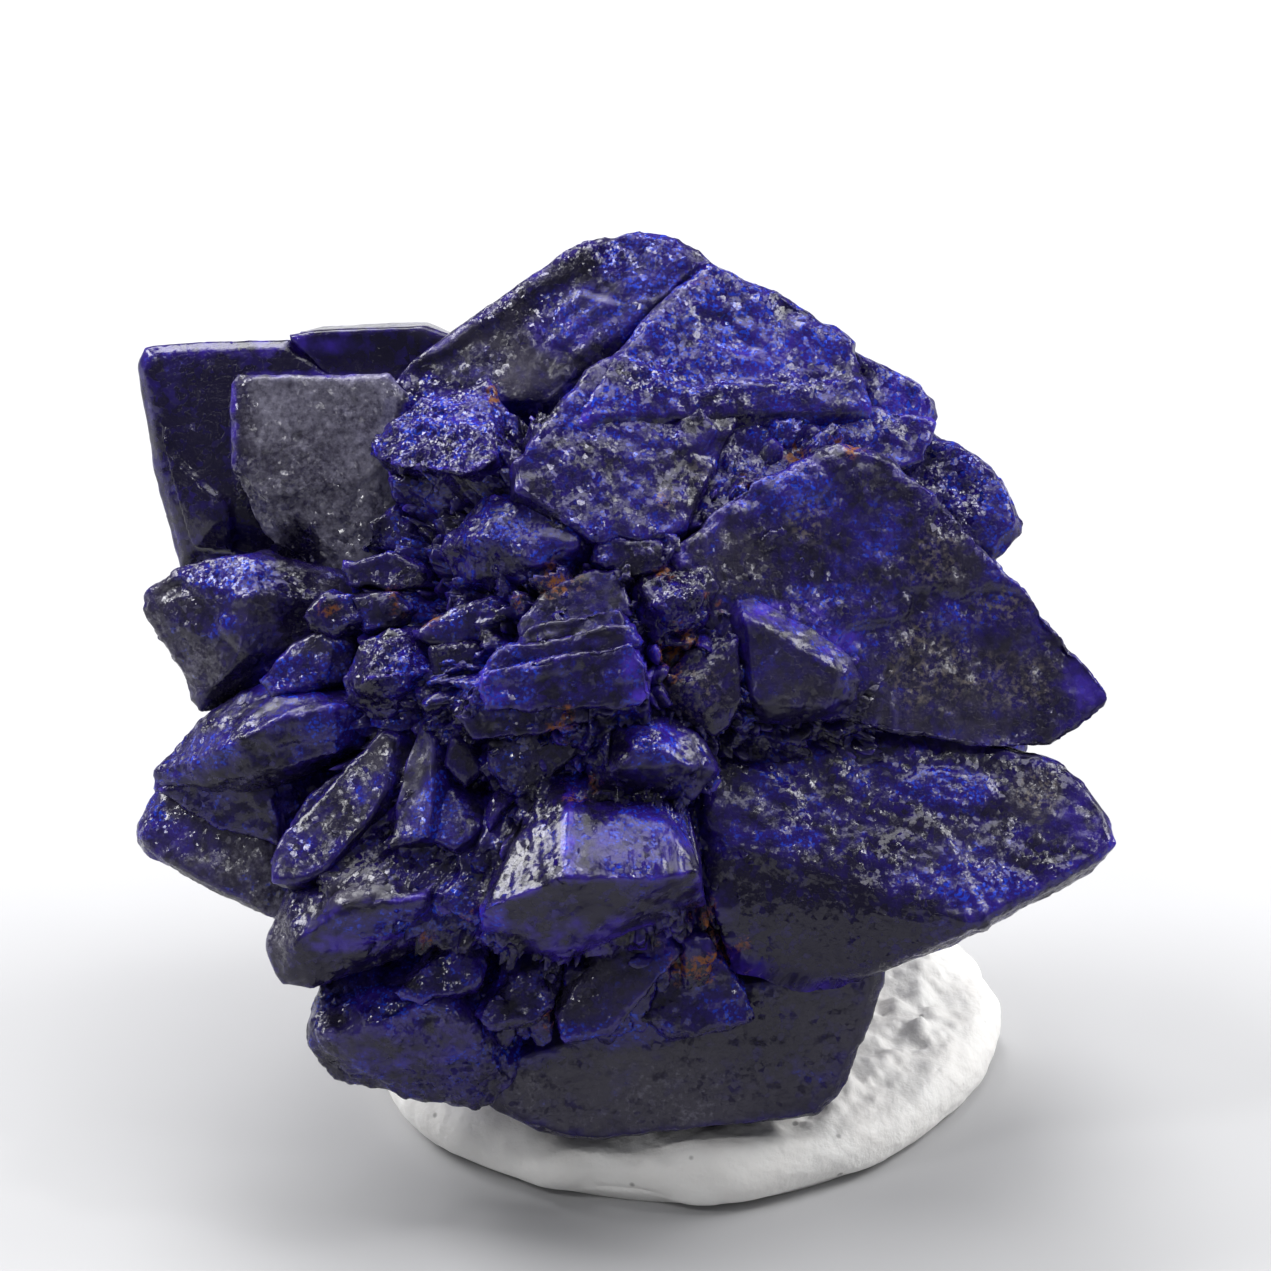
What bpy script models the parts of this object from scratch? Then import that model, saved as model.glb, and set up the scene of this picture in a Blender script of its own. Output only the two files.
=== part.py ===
"""Azurite specimen: a rosette of intergrown tabular crystals, pressed into a pad of white mineral putty.

Run it with: blender --background --python part.py

The rosette is drawn from its heart, the point that its crystals grew out from. Places on it are
(right, up, forward) in millimetres from the heart, on a show plane that leans back from upright, so
that "forward" points at someone who looks down at the show side. The world is in metres, +Z up,
with the origin on the table under the middle of the whole specimen.
"""

from collections import namedtuple
from itertools import product
from math import cos, pi, radians, sin
from random import Random

import bmesh
import bpy
from mathutils import Matrix, Vector

MM = 0.001  # metres in a millimetre

# Driving dimensions, in millimetres and degrees
SHOW_LEAN = 30.0  # how far the show plane leans back from upright
HEART_HEIGHT = 9.1  # heart of the rosette above the table
CORE_RADIUS = 4.1  # the intergrown middle, which shows only in the clefts
CORE_LUMPS = 0.35  # how far the middle's lumps rise and fall
ROOT_SHARE = 0.22  # a crystal's root, as a share of its way out from the heart
BACK_SHARE = 0.93  # a plate's rear outline against its front one
BEVEL_DROP = 0.8  # how far a plate's outline lies behind its face, in bevel widths
PAD_MIDDLE = (0.86, -0.87)  # the pad's middle, to the right of the heart and behind it
PAD_RADIUS = 6.3
PAD_HEIGHT = 1.5  # at its rim: the middle is squeezed up round the crystals
PAD_GAP = 0.3  # clearance between putty and crystals
PAD_SIDES = 40
# Rings from the underside's edge up and over to the top's middle: shares of the radius and of the height
PAD_RINGS = ((0.93, 0.0), (0.985, 0.18), (1.0, 0.42), (0.985, 0.68), (0.93, 0.9), (0.82, 1.0), (0.6, 1.12),
             (0.35, 1.3))
# Hand-pressed unevenness round the pad, as (waves, share, phase) of its radius and of its height
PAD_SWAY = ((2, 0.018, 0.6), (5, 0.012, 1.9))
PAD_SWELL = ((1, 0.10, 0.35), (4, 0.04, 0.0))

# A plate: corners (right, up) of its broad face, how far forward the face is at the corners' middle,
# how much further forward it comes for each millimetre right and up, its thickness, the width of its
# edge bevels, and peaks (right, up, forward) that stand out from the face.
Plate = namedtuple("Plate", "name corners forward slope thickness bevel peaks", defaults=((),))

UPPER_PLATES = [
    Plate("summit_ridge", [(-5.0, 4.5), (-5.05, 5.2), (-3.7, 6.2), (-1.2, 7.85), (-0.1, 8.25), (0.7, 8.1),
                           (1.45, 7.6), (0.6, 6.9), (-1.9, 4.6)], 1.9, (0.22, -0.3), 1.6, 0.25),
    Plate("crown_face", [(1.4, 7.55), (2.8, 7.0), (3.6, 6.45), (4.35, 6.0), (4.6, 4.5), (2.4, 4.4),
                         (-1.2, 4.3), (-1.0, 5.2), (0.6, 6.9)], 2.75, (-0.25, -0.45), 1.3, 0.2),
    Plate("crown_foot", [(-2.55, 3.6), (-1.0, 5.4), (0.5, 6.3), (1.9, 5.6), (2.1, 4.6), (0.9, 2.2),
                         (0.4, 1.9), (-1.0, 1.95), (-2.5, 3.0)], 4.12, (-0.25, -0.45), 1.5, 0.15),
    Plate("crown_under_layer", [(0.9, 2.2), (1.2, 4.4), (4.5, 4.75), (5.9, 4.4), (5.7, 3.6), (4.7, 3.5),
                                (2.2, 2.4)], 3.05, (-0.25, -0.42), 1.1, 0.12),
    Plate("crown_end", [(4.2, 5.95), (5.0, 5.5), (5.7, 5.2), (5.95, 4.9), (6.05, 4.5), (5.9, 4.1),
                        (4.9, 4.0), (4.3, 4.7)], 2.0, (-0.35, -0.3), 1.3, 0.3),
    Plate("shoulder_right", [(5.6, 4.35), (6.4, 3.95), (7.0, 3.55), (7.3, 3.3), (7.7, 2.4), (7.65, 2.2),
                             (7.1, 1.55), (6.2, 1.6), (5.0, 3.2)], 1.6, (-0.25, -0.25), 1.4, 0.25),
]

RIGHT_PLATES = [
    Plate("great_blade", [(0.5, 1.7), (2.0, 2.95), (3.6, 3.75), (4.2, 3.88), (4.9, 3.65), (6.0, 2.8),
                          (7.1, 1.6), (8.9, -0.3), (9.45, -0.95), (9.55, -1.2), (9.4, -1.45),
                          (8.3, -2.25), (7.0, -2.3), (4.6, -1.9), (1.8, -0.8)],
          3.35, (-0.33, -0.08), 1.5, 0.3),
    Plate("lower_blade", [(1.4, -2.3), (2.0, -1.9), (4.0, -1.6), (5.2, -1.65), (7.0, -2.3), (8.4, -2.35),
                          (9.0, -2.95), (9.4, -3.5), (9.55, -4.0), (9.4, -4.2), (6.6, -5.7), (5.3, -4.85),
                          (3.0, -4.2), (1.5, -4.0), (1.1, -3.3)], 3.65, (-0.2, -0.42), 1.5, 0.15,
          [(1.4, -5.3, 4.5), (1.8, -6.6, 3.8), (2.8, -7.1, 3.5), (3.9, -6.95, 3.4), (5.0, -6.45, 3.4)]),
]

LEFT_PLATES = [
    Plate("back_left_blade", [(-10.1, 5.5), (-9.95, 5.85), (-9.0, 5.95), (-7.0, 6.0), (-5.8, 5.2),
                              (-5.8, 1.6), (-9.2, 1.3), (-9.75, 3.3)], 0.35, (0.12, 0.06), 1.3, 0.28,
          [(-8.4, 2.4, 0.75)]),
    Plate("back_left_second", [(-7.05, 6.05), (-6.5, 6.18), (-4.3, 6.27), (-3.6, 6.0), (-3.6, 5.0),
                               (-6.0, 4.9), (-6.4, 5.4)], 0.75, (0.1, 0.12), 1.2, 0.12),
    Plate("grey_tablet", [(-8.15, 5.1), (-8.0, 5.3), (-5.0, 5.3), (-4.9, 4.2), (-5.2, 3.0), (-7.7, 2.85),
                          (-8.15, 3.5)], 2.0, (0.02, -0.02), 1.5, 0.15,
          [(-7.6, 2.1, 1.5), (-6.5, 1.5, 1.7), (-6.1, 1.05, 1.7), (-5.4, 1.3, 2.1), (-5.2, 2.4, 2.2)]),
    Plate("bright_wedge", [(-5.45, 3.8), (-5.0, 4.3), (-4.4, 4.85), (-3.0, 5.2), (-2.6, 4.5), (-2.65, 4.0),
                           (-3.5, 3.1), (-4.4, 2.95)], 3.1, (0.1, -0.12), 1.0, 0.12,
          [(-4.9, 3.95, 3.7), (-3.4, 4.0, 4.25), (-2.9, 4.25, 4.2)]),
    Plate("wedge_heel", [(-3.5, 3.6), (-2.6, 3.7), (-2.6, 3.1), (-3.1, 2.8), (-3.75, 2.5), (-3.95, 3.0)],
          3.6, (0.1, -0.1), 1.0, 0.1),
    Plate("wedge_toe", [(-5.0, 3.3), (-3.6, 3.1), (-3.9, 2.1), (-4.3, 2.0), (-4.95, 2.8)],
          2.9, (0.1, 0.2), 1.0, 0.1),
    Plate("left_block", [(-9.3, 1.4), (-9.9, 0.9), (-10.0, 0.6), (-9.85, 0.3), (-9.4, -0.5), (-8.8, -1.5),
                         (-7.6, -0.9), (-7.0, 0.2), (-7.25, 1.45), (-7.6, 1.7), (-8.5, 1.6)],
          2.4, (0.25, 0.1), 1.8, 0.2, [(-7.7, 0.9, 3.2), (-8.0, -0.3, 3.1)]),
    Plate("left_nose", [(-9.8, -2.7), (-8.8, -1.5), (-7.4, -0.7), (-6.2, -0.9), (-5.4, -1.9), (-5.6, -2.3),
                        (-7.2, -2.95), (-8.0, -3.1), (-9.7, -3.0)], 2.9, (0.3, -0.1), 1.6, 0.15,
          [(-8.15, -2.1, 3.55), (-7.0, -1.45, 3.95), (-6.1, -1.35, 4.2), (-6.0, -2.3, 4.1),
           (-7.6, -2.7, 3.7)]),
    Plate("left_shelf", [(-9.7, -2.9), (-10.05, -3.4), (-10.2, -3.85), (-10.15, -4.05), (-9.9, -4.3),
                         (-8.5, -5.05), (-7.4, -5.55), (-7.0, -4.6), (-7.2, -3.4)],
          2.0, (0.32, -0.05), 1.3, 0.35),
    Plate("left_shelf_roof", [(-9.6, -2.95), (-8.5, -2.7), (-7.4, -2.9), (-7.1, -3.6), (-7.1, -4.1),
                              (-8.4, -3.75), (-9.3, -3.2)], 2.6, (0.25, 0.35), 1.0, 0.08),
]

LOWER_PLATES = [
    Plate("foot_block", [(-3.0, -9.4), (-3.2, -8.5), (-1.5, -7.9), (0.5, -7.5), (2.2, -6.7), (4.95, -6.4),
                         (4.85, -7.0), (4.4, -8.3), (4.05, -9.1), (3.55, -9.55), (1.5, -9.78),
                         (-1.0, -10.05), (-2.0, -9.9)], 2.5, (-0.06, 0.38), 2.2, 0.25),
    Plate("lower_left_log", [(-6.35, -6.6), (-6.6, -7.3), (-6.65, -8.0), (-6.4, -8.5), (-5.9, -8.9),
                             (-3.2, -9.35), (-2.6, -8.9), (-3.0, -7.4), (-3.5, -6.8), (-4.8, -6.5)],
          3.1, (0.15, 0.1), 2.0, 0.2, [(-6.2, -7.9, 3.7), (-4.2, -7.2, 4.5), (-3.4, -7.6, 4.5)]),
    Plate("left_knuckle", [(-7.0, -4.9), (-7.4, -5.8), (-7.45, -6.2), (-7.1, -6.85), (-6.5, -6.9),
                           (-4.2, -6.1), (-3.5, -5.4), (-3.5, -4.3), (-5.3, -4.1), (-6.2, -4.6)],
          4.1, (0.1, -0.02), 1.6, 0.2, [(-6.75, -5.95, 4.9), (-5.8, -5.2, 5.4), (-4.3, -5.1, 5.5)]),
    Plate("prow", [(-1.9, -2.9), (-1.4, -3.0), (0.3, -3.2), (0.9, -3.5), (1.25, -4.3), (1.3, -5.25),
                   (0.0, -5.5), (-1.6, -6.4), (-3.1, -6.05), (-3.3, -5.3)], 5.1, (0.0, 0.06), 1.4, 0.1,
          [(-1.42, -3.3, 5.9), (-1.45, -4.7, 7.3), (0.2, -4.65, 6.9), (1.15, -4.55, 6.2),
           (-2.4, -5.1, 6.6), (0.5, -3.6, 6.1)]),
    Plate("heel_left", [(-3.3, -7.4), (-2.5, -6.6), (-2.0, -6.45), (-1.75, -6.6), (-1.7, -7.3), (-2.1, -7.6),
                        (-3.0, -7.7)], 4.6, (0.05, -0.05), 1.2, 0.12),
    Plate("heel_far_left", [(-4.9, -7.0), (-4.2, -6.3), (-3.4, -5.9), (-3.1, -6.5), (-3.3, -6.9),
                            (-4.3, -7.25)], 4.55, (0.1, -0.1), 1.2, 0.12),
    Plate("heel_middle", [(-1.7, -7.4), (-0.9, -6.3), (-0.3, -5.6), (0.5, -5.6), (0.9, -6.2), (0.2, -6.9),
                          (-0.6, -7.75), (-1.5, -7.95)], 4.4, (0.0, -0.05), 1.2, 0.12),
    Plate("heel_right", [(0.0, -7.6), (0.3, -6.7), (1.0, -6.0), (1.7, -6.3), (2.1, -7.0), (2.3, -7.6),
                         (0.6, -7.95)], 3.9, (0.0, 0.1), 1.2, 0.12),
]

MIDDLE_PLATES = [
    Plate("block_front", [(-3.2, -1.0), (-3.15, -0.65), (-1.3, -0.4), (-0.15, -0.05), (0.1, -0.5),
                          (0.22, -1.1), (0.0, -1.38), (-0.9, -1.4), (-3.0, -1.35)],
          6.1, (0.05, 0.12), 1.2, 0.06),
    Plate("block_second_step", [(-2.95, -0.4), (-2.6, -0.1), (-0.5, 0.28), (-0.15, 0.3), (0.05, -0.1),
                                (-1.3, -0.6), (-3.1, -0.75)], 5.95, (0.05, 0.0), 1.2, 0.05),
    Plate("block_third_step", [(-2.4, 0.1), (-2.1, 0.3), (-0.45, 0.62), (-0.2, 0.45), (-0.2, 0.1),
                               (-2.5, -0.2)], 5.75, (0.05, -0.1), 1.1, 0.05),
    Plate("block_top", [(-2.5, 0.3), (-2.0, 0.9), (-1.3, 1.3), (-0.9, 1.48), (-0.4, 1.4), (-0.15, 0.5),
                        (-2.4, 0.0)], 5.2, (0.05, -0.3), 1.2, 0.08),
    Plate("block_foot", [(-3.7, -1.5), (-3.35, -0.85), (-2.9, -1.1), (-0.95, -1.3), (-0.9, -1.6),
                         (-1.9, -1.85), (-3.3, -1.98)], 5.6, (0.05, 0.05), 1.2, 0.08),
    Plate("block_knee", [(-3.0, -2.0), (-2.0, -1.7), (-1.2, -1.5), (-1.05, -1.8), (-1.2, -2.3),
                         (-1.9, -2.9), (-2.6, -3.1), (-3.0, -2.6)], 5.1, (0.0, 0.05), 1.2, 0.15),
    Plate("dome", [(-1.1, -2.6), (-1.0, -2.1), (-0.6, -1.6), (-0.2, -1.45), (0.5, -1.5), (0.9, -1.7),
                   (1.35, -2.1), (1.6, -2.6), (1.0, -3.2), (0.3, -3.15), (-0.9, -3.0)],
          5.3, (0.0, 0.0), 1.2, 0.15, [(0.1, -2.0, 6.25), (-0.3, -2.6, 6.3), (0.6, -2.5, 6.2)]),
    Plate("amber_stud", [(0.25, -1.1), (0.35, -0.8), (0.9, -0.2), (1.5, 0.0), (1.95, 0.05), (2.0, -0.5),
                         (2.0, -1.2), (1.75, -1.7), (1.4, -1.9), (0.9, -1.6)],
          5.1, (0.0, -0.05), 1.2, 0.12, [(1.1, -0.9, 5.5)]),
    Plate("spark_stud", [(-0.2, 0.9), (-0.1, 1.3), (0.4, 1.5), (1.3, 1.45), (1.55, 1.0), (1.4, 0.6),
                         (1.3, 0.3), (0.8, 0.0), (0.3, -0.3), (0.05, 0.1), (-0.15, 0.5)],
          5.0, (0.0, -0.05), 1.2, 0.12, [(0.9, 0.75, 5.6), (0.3, 0.7, 5.5)]),
    Plate("collar_stud", [(-0.95, 1.6), (-0.9, 2.05), (0.5, 2.05), (0.5, 1.4), (-0.1, 1.25), (-0.4, 1.4)],
          5.0, (0.0, -0.1), 1.0, 0.1),
    Plate("right_lid", [(1.6, 0.5), (1.9, 0.95), (2.3, 0.8), (3.0, 0.4), (3.7, 0.05), (4.2, -0.4),
                        (4.4, -0.75), (4.3, -1.2), (3.9, -1.5), (3.0, -1.72), (2.3, -1.65), (2.05, -1.2)],
          4.4, (-0.1, 0.05), 1.2, 0.1, [(2.2, 0.1, 5.15), (3.9, -0.75, 4.75), (2.3, -1.3, 5.0),
                                        (3.7, -1.3, 4.7)]),
    Plate("foot_lump", [(-4.05, 1.7), (-3.9, 2.1), (-3.0, 2.9), (-1.8, 3.1), (-0.9, 2.1), (-1.0, 1.6),
                        (-1.8, 1.2), (-2.5, 0.9), (-3.6, 1.05)], 4.3, (0.2, -0.05), 1.3, 0.15,
          [(-3.1, 2.05, 4.9), (-2.1, 1.45, 5.1), (-1.2, 1.9, 5.0)]),
    Plate("left_sill", [(-5.9, 1.5), (-5.0, 1.78), (-4.3, 1.45), (-4.2, 1.1), (-5.0, 0.98), (-5.8, 1.08)],
          3.6, (0.1, -0.1), 1.2, 0.1),
    Plate("left_sliver", [(-5.6, 1.75), (-5.3, 2.4), (-4.9, 2.75), (-4.5, 2.3), (-4.6, 1.7)],
          3.2, (0.2, 0.0), 1.2, 0.1),
    Plate("rust_stub", [(-6.6, 0.5), (-6.3, 0.95), (-5.7, 0.9), (-5.5, 0.4), (-6.1, 0.1), (-6.5, 0.2)],
          3.8, (0.1, 0.0), 1.2, 0.12),
    Plate("rust_bridge", [(-5.8, 0.85), (-4.9, 1.0), (-4.5, 0.6), (-5.0, 0.2), (-5.6, 0.1)],
          3.9, (0.1, 0.0), 1.2, 0.12),
    Plate("nose_crest", [(-7.6, -0.8), (-6.9, 0.0), (-6.2, 0.3), (-5.9, 0.0), (-6.2, -0.9), (-7.3, -1.2)],
          3.6, (0.2, -0.1), 1.2, 0.15),
    Plate("blue_knob", [(-4.5, 0.1), (-3.8, 0.6), (-2.9, 0.88), (-2.55, 0.75), (-2.5, 0.5), (-3.1, 0.0),
                        (-4.2, -0.1)], 4.4, (0.1, 0.0), 1.2, 0.12),
    Plate("glint_knob", [(-5.9, -0.75), (-5.5, -0.1), (-5.0, 0.3), (-4.6, 0.2), (-4.35, -0.3),
                         (-4.35, -0.8), (-4.6, -1.3), (-5.0, -1.7), (-5.5, -1.5), (-5.9, -1.2)],
          4.2, (0.1, 0.0), 1.2, 0.1, [(-5.5, -0.75, 4.8), (-4.6, -0.7, 4.95)]),
    Plate("inner_knob", [(-4.2, -0.1), (-3.3, 0.0), (-3.05, -0.3), (-3.3, -1.0), (-3.9, -1.05),
                         (-4.2, -0.6)], 4.5, (0.1, 0.0), 1.2, 0.12),
]

# The book is a stack of thin plates seen on edge, from its outer leaf inwards.
BOOK_PLATES = [
    Plate("book_leaf_1", [(-7.35, -4.4), (-7.1, -4.8), (-6.3, -4.75), (-5.85, -4.3), (-6.0, -3.9),
                          (-6.6, -3.6), (-7.0, -3.75)], 4.1, (0.15, 0.0), 1.2, 0.08),
    Plate("book_leaf_2", [(-7.0, -3.7), (-6.4, -4.0), (-5.4, -3.2), (-5.45, -2.7), (-5.9, -2.6),
                          (-6.6, -3.1)], 3.9, (0.2, 0.0), 1.2, 0.08),
    Plate("book_leaf_3", [(-6.05, -3.95), (-5.7, -4.05), (-5.0, -3.5), (-4.95, -3.1), (-5.3, -3.0),
                          (-5.8, -3.4)], 4.35, (0.2, 0.0), 1.2, 0.06),
    Plate("book_leaf_4", [(-5.65, -2.8), (-5.3, -3.1), (-5.0, -2.9), (-4.85, -2.1), (-5.05, -1.8),
                          (-5.3, -2.1)], 4.5, (0.15, 0.1), 1.2, 0.06),
    Plate("book_leaf_5", [(-5.0, -4.1), (-4.85, -3.2), (-4.6, -2.2), (-4.35, -1.6), (-4.05, -1.9),
                          (-4.1, -3.0), (-4.2, -3.9)], 4.85, (0.15, 0.1), 1.3, 0.08),
    Plate("book_leaf_6", [(-4.2, -3.9), (-4.05, -2.7), (-3.65, -2.9), (-3.35, -3.9), (-3.7, -4.15)],
          5.0, (-0.1, 0.1), 1.3, 0.1),
    Plate("book_leaf_7", [(-3.85, -2.5), (-3.75, -1.95), (-3.4, -2.0), (-3.1, -2.6), (-3.45, -2.95)],
          4.9, (-0.1, 0.0), 1.2, 0.08),
]

SHOW_PLATES = UPPER_PLATES + RIGHT_PLATES + LEFT_PLATES + LOWER_PLATES + MIDDLE_PLATES + BOOK_PLATES

# A spoke is a blade that grew straight out from the heart: its bearing round the show plane from
# right, how far it points away from the show side, its roll about its own length, then its reach,
# width and thickness. The spokes fill the sides, back and underside.
Spoke = namedtuple("Spoke", "name around away roll reach width thickness")

SPOKES = [
    Spoke("back_rim_1", 12, 24, 20, 7.6, 5.0, 1.5),
    Spoke("back_rim_2", 47, 26, 250, 7.2, 4.6, 1.6),
    Spoke("back_rim_3", 78, 24, 25, 7.3, 5.4, 1.7),
    Spoke("back_rim_4", 112, 27, 240, 7.2, 4.8, 1.5),
    Spoke("back_rim_5", 146, 24, 15, 8.9, 5.6, 1.6),
    Spoke("back_rim_6", 171, 22, 255, 8.8, 4.6, 1.5),
    Spoke("back_rim_7", 204, 25, 30, 8.7, 5.2, 1.6),
    Spoke("back_rim_8", 236, 22, 65, 8.4, 4.4, 1.7),
    Spoke("back_rim_9", 268, 20, 190, 7.5, 5.0, 1.8),
    Spoke("back_rim_10", 301, 24, 55, 7.7, 4.6, 1.6),
    Spoke("back_rim_11", 337, 22, 260, 8.6, 5.0, 1.6),
    Spoke("back_ring_1", 30, 52, 40, 7.9, 5.6, 1.6),
    Spoke("back_ring_2", 82, 54, 275, 8.0, 5.0, 1.5),
    Spoke("back_ring_3", 128, 50, 35, 8.2, 5.8, 1.7),
    Spoke("back_ring_4", 178, 55, 280, 8.0, 5.0, 1.5),
    Spoke("back_ring_5", 226, 50, 30, 7.8, 5.2, 1.6),
    Spoke("back_ring_6", 272, 50, 265, 7.3, 4.8, 1.6),
    Spoke("back_ring_7", 322, 54, 25, 7.8, 5.4, 1.6),
    Spoke("back_cap_1", 60, 78, 60, 7.6, 5.2, 1.6),
    Spoke("back_cap_2", 200, 76, 200, 7.7, 5.6, 1.7),
    Spoke("back_cap_3", 318, 80, 110, 7.3, 4.6, 1.5),
    Spoke("under_left", 244, 2, 260, 8.3, 3.6, 1.5),
    Spoke("under_right", 296, 2, 15, 8.6, 4.2, 1.6),
]

# The blade's outline, from one side of the root round the tip: shares of its reach and of its width
SPOKE_OUTLINE = ((0.2, -0.26), (0.76, -0.5), (0.93, -0.36), (1.0, 0.02), (0.97, 0.12), (0.66, 0.5),
                 (0.2, 0.26))
SPOKE_FACE = 0.9  # a blade's broad faces, as a share of its outline
SPOKE_EDGE = 0.5  # thickness left at a blade's edges, as a share of its full thickness

# Small crystals that crowd the clefts: how many, and the seed, reach and width that they vary over
SCATTER_COUNT = 56
SCATTER_SEED = 11
SCATTER_REACH = (4.3, 5.3)
SCATTER_WIDTH = (0.7, 1.5)


def show(right, up, forward):
    """A place on the rosette, as a vector from its heart in world directions and millimetres."""
    lean = radians(SHOW_LEAN)
    return Vector((right, up * sin(lean) - forward * cos(lean), up * cos(lean) + forward * sin(lean)))


def face_points(plate):
    """The plate's corners on the plane of its face, in (right, up, forward)."""
    count = len(plate.corners)
    middle_right = sum(right for right, up in plate.corners) / count
    middle_up = sum(up for right, up in plate.corners) / count
    by_right, by_up = plate.slope
    return [Vector((right, up, plate.forward + by_right * (right - middle_right) + by_up * (up - middle_up)))
            for right, up in plate.corners]


def plate_points(plate):
    """Every corner of a plate: bevelled face, outline, rear outline, peaks and the root at the heart."""
    outline = face_points(plate)
    middle = sum(outline, Vector()) / len(outline)
    radius = sum((point - middle).length for point in outline) / len(outline)
    normal = Vector((-plate.slope[0], -plate.slope[1], 1)).normalized()
    inset = 1 - plate.bevel / radius
    face = [middle + (point - middle) * inset for point in outline]
    girdle = [point - normal * plate.bevel * BEVEL_DROP for point in outline]
    rear = [middle + (point - middle) * BACK_SHARE - normal * plate.thickness for point in outline]
    root = [point * ROOT_SHARE for point in outline]
    peaks = [Vector(peak) for peak in plate.peaks]
    return [show(*point) for point in face + girdle + rear + root + peaks]


def spoke_points(spoke):
    """Every corner of a spoke: a tabular blade with a slanting chisel tip, narrowing to its root."""
    around, away, roll = radians(spoke.around), radians(spoke.away), radians(spoke.roll)
    out = show(cos(around) * cos(away), sin(around) * cos(away), -sin(away))
    side = out.orthogonal().normalized()
    side.rotate(Matrix.Rotation(roll, 3, out))
    half_thickness = out.cross(side) * spoke.thickness / 2
    inner_along = sum(along for along, across in SPOKE_OUTLINE) / len(SPOKE_OUTLINE)
    points = []
    for along, across in SPOKE_OUTLINE:
        face_along = inner_along + (along - inner_along) * SPOKE_FACE
        edge = out * spoke.reach * along + side * spoke.width * across
        face = out * spoke.reach * face_along + side * spoke.width * across * SPOKE_FACE
        for turned in (-1, 1):
            points.append(edge + half_thickness * turned * SPOKE_EDGE)
            points.append(face + half_thickness * turned)
    return points


def scatter_spokes():
    """Small stubby spokes all round the core, turned and sized by a seeded draw."""
    draw = Random(SCATTER_SEED)
    spokes = []
    for index in range(SCATTER_COUNT):
        # an even spread over the sphere: equal steps in forward, golden-angle steps around
        forward = 1 - 2 * (index + 0.5) / SCATTER_COUNT
        around = index * 137.5 + draw.uniform(-14, 14)
        away = -90 + 180 * (0.5 - forward / 2) + draw.uniform(-6, 6)
        width = draw.uniform(*SCATTER_WIDTH)
        spokes.append(Spoke(f"stub_{index}", around, away, draw.uniform(0, 180),
                            draw.uniform(*SCATTER_REACH), width, width * draw.uniform(0.5, 0.8)))
    return spokes


def crystal_points():
    """Each crystal's name and corners: the plates of the show side, then every spoke."""
    plates = [(plate.name, plate_points(plate)) for plate in SHOW_PLATES]
    return plates + [(spoke.name, spoke_points(spoke)) for spoke in SPOKES + scatter_spokes()]


def visible_object(name, shape):
    """A new object that holds the bmesh, which is freed."""
    mesh = bpy.data.meshes.new(name)
    shape.to_mesh(mesh)
    shape.free()
    solid = bpy.data.objects.new(name, mesh)
    bpy.context.scene.collection.objects.link(solid)
    return solid


def hull_object(name, points, offset, collection):
    """A hidden convex solid round the points, given in millimetres from the heart."""
    mesh = bpy.data.meshes.new(name)
    shape = bmesh.new()
    for point in points:
        shape.verts.new((point + offset) * MM)
    made = bmesh.ops.convex_hull(shape, input=shape.verts)
    loose = {item for item in made["geom_interior"] + made["geom_unused"]
             if isinstance(item, bmesh.types.BMVert)}
    bmesh.ops.delete(shape, geom=list(loose), context="VERTS")
    bmesh.ops.recalc_face_normals(shape, faces=shape.faces)
    shape.to_mesh(mesh)
    shape.free()
    solid = bpy.data.objects.new(name, mesh)
    solid.hide_render = True
    solid.display_type = "WIRE"
    collection.objects.link(solid)
    return solid


def helper_collection(name):
    collection = bpy.data.collections.new(name)
    bpy.context.scene.collection.children.link(collection)
    return collection


def finish(name, color, roughness):
    """A Principled material for one piece."""
    material = bpy.data.materials.new(name)
    material.use_nodes = True
    shader = material.node_tree.nodes["Principled BSDF"]
    shader.inputs["Base Color"].default_value = (*color, 1)
    shader.inputs["Roughness"].default_value = roughness
    shader.inputs["Metallic"].default_value = 0.0
    return material


def core_object(name, offset):
    """The intergrown middle: a lumpy ball."""
    shape = bmesh.new()
    bmesh.ops.create_icosphere(shape, subdivisions=2, radius=1.0)
    for vert in shape.verts:
        along = vert.co.normalized()
        lump = sin(5.1 * along.x + 1.3) * sin(4.3 * along.y + 0.4) * sin(4.7 * along.z + 2.1)
        vert.co = (along * (CORE_RADIUS + CORE_LUMPS * lump) + offset) * MM
    return visible_object(name, shape)


def join_all(target, collection, operation):
    modifier = target.modifiers.new(operation.lower(), "BOOLEAN")
    modifier.operation = operation
    modifier.operand_type = "COLLECTION"
    modifier.collection = collection
    modifier.solver = "EXACT"


def islands_of(shape):
    """The connected groups of a mesh's faces, as lists."""
    waiting = set(shape.faces)
    islands = []
    while waiting:
        reached = [waiting.pop()]
        for face in reached:
            beside = {other for edge in face.edges for other in edge.link_faces} & waiting
            waiting -= beside
            reached.extend(beside)
        islands.append(reached)
    return islands


def keep_outside(solid):
    """Applies the solid's modifiers and fills the gaps that are sealed inside it."""
    evaluated = solid.evaluated_get(bpy.context.evaluated_depsgraph_get())
    shape = bmesh.new()
    shape.from_mesh(evaluated.to_mesh())
    evaluated.to_mesh_clear()
    shape.faces.ensure_lookup_table()
    outside = max(islands_of(shape), key=lambda faces: sum(face.calc_area() for face in faces))
    inner = set(shape.faces) - set(outside)
    bmesh.ops.delete(shape, geom=list(inner), context="FACES")
    solid.modifiers.clear()
    shape.to_mesh(solid.data)
    shape.free()


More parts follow.
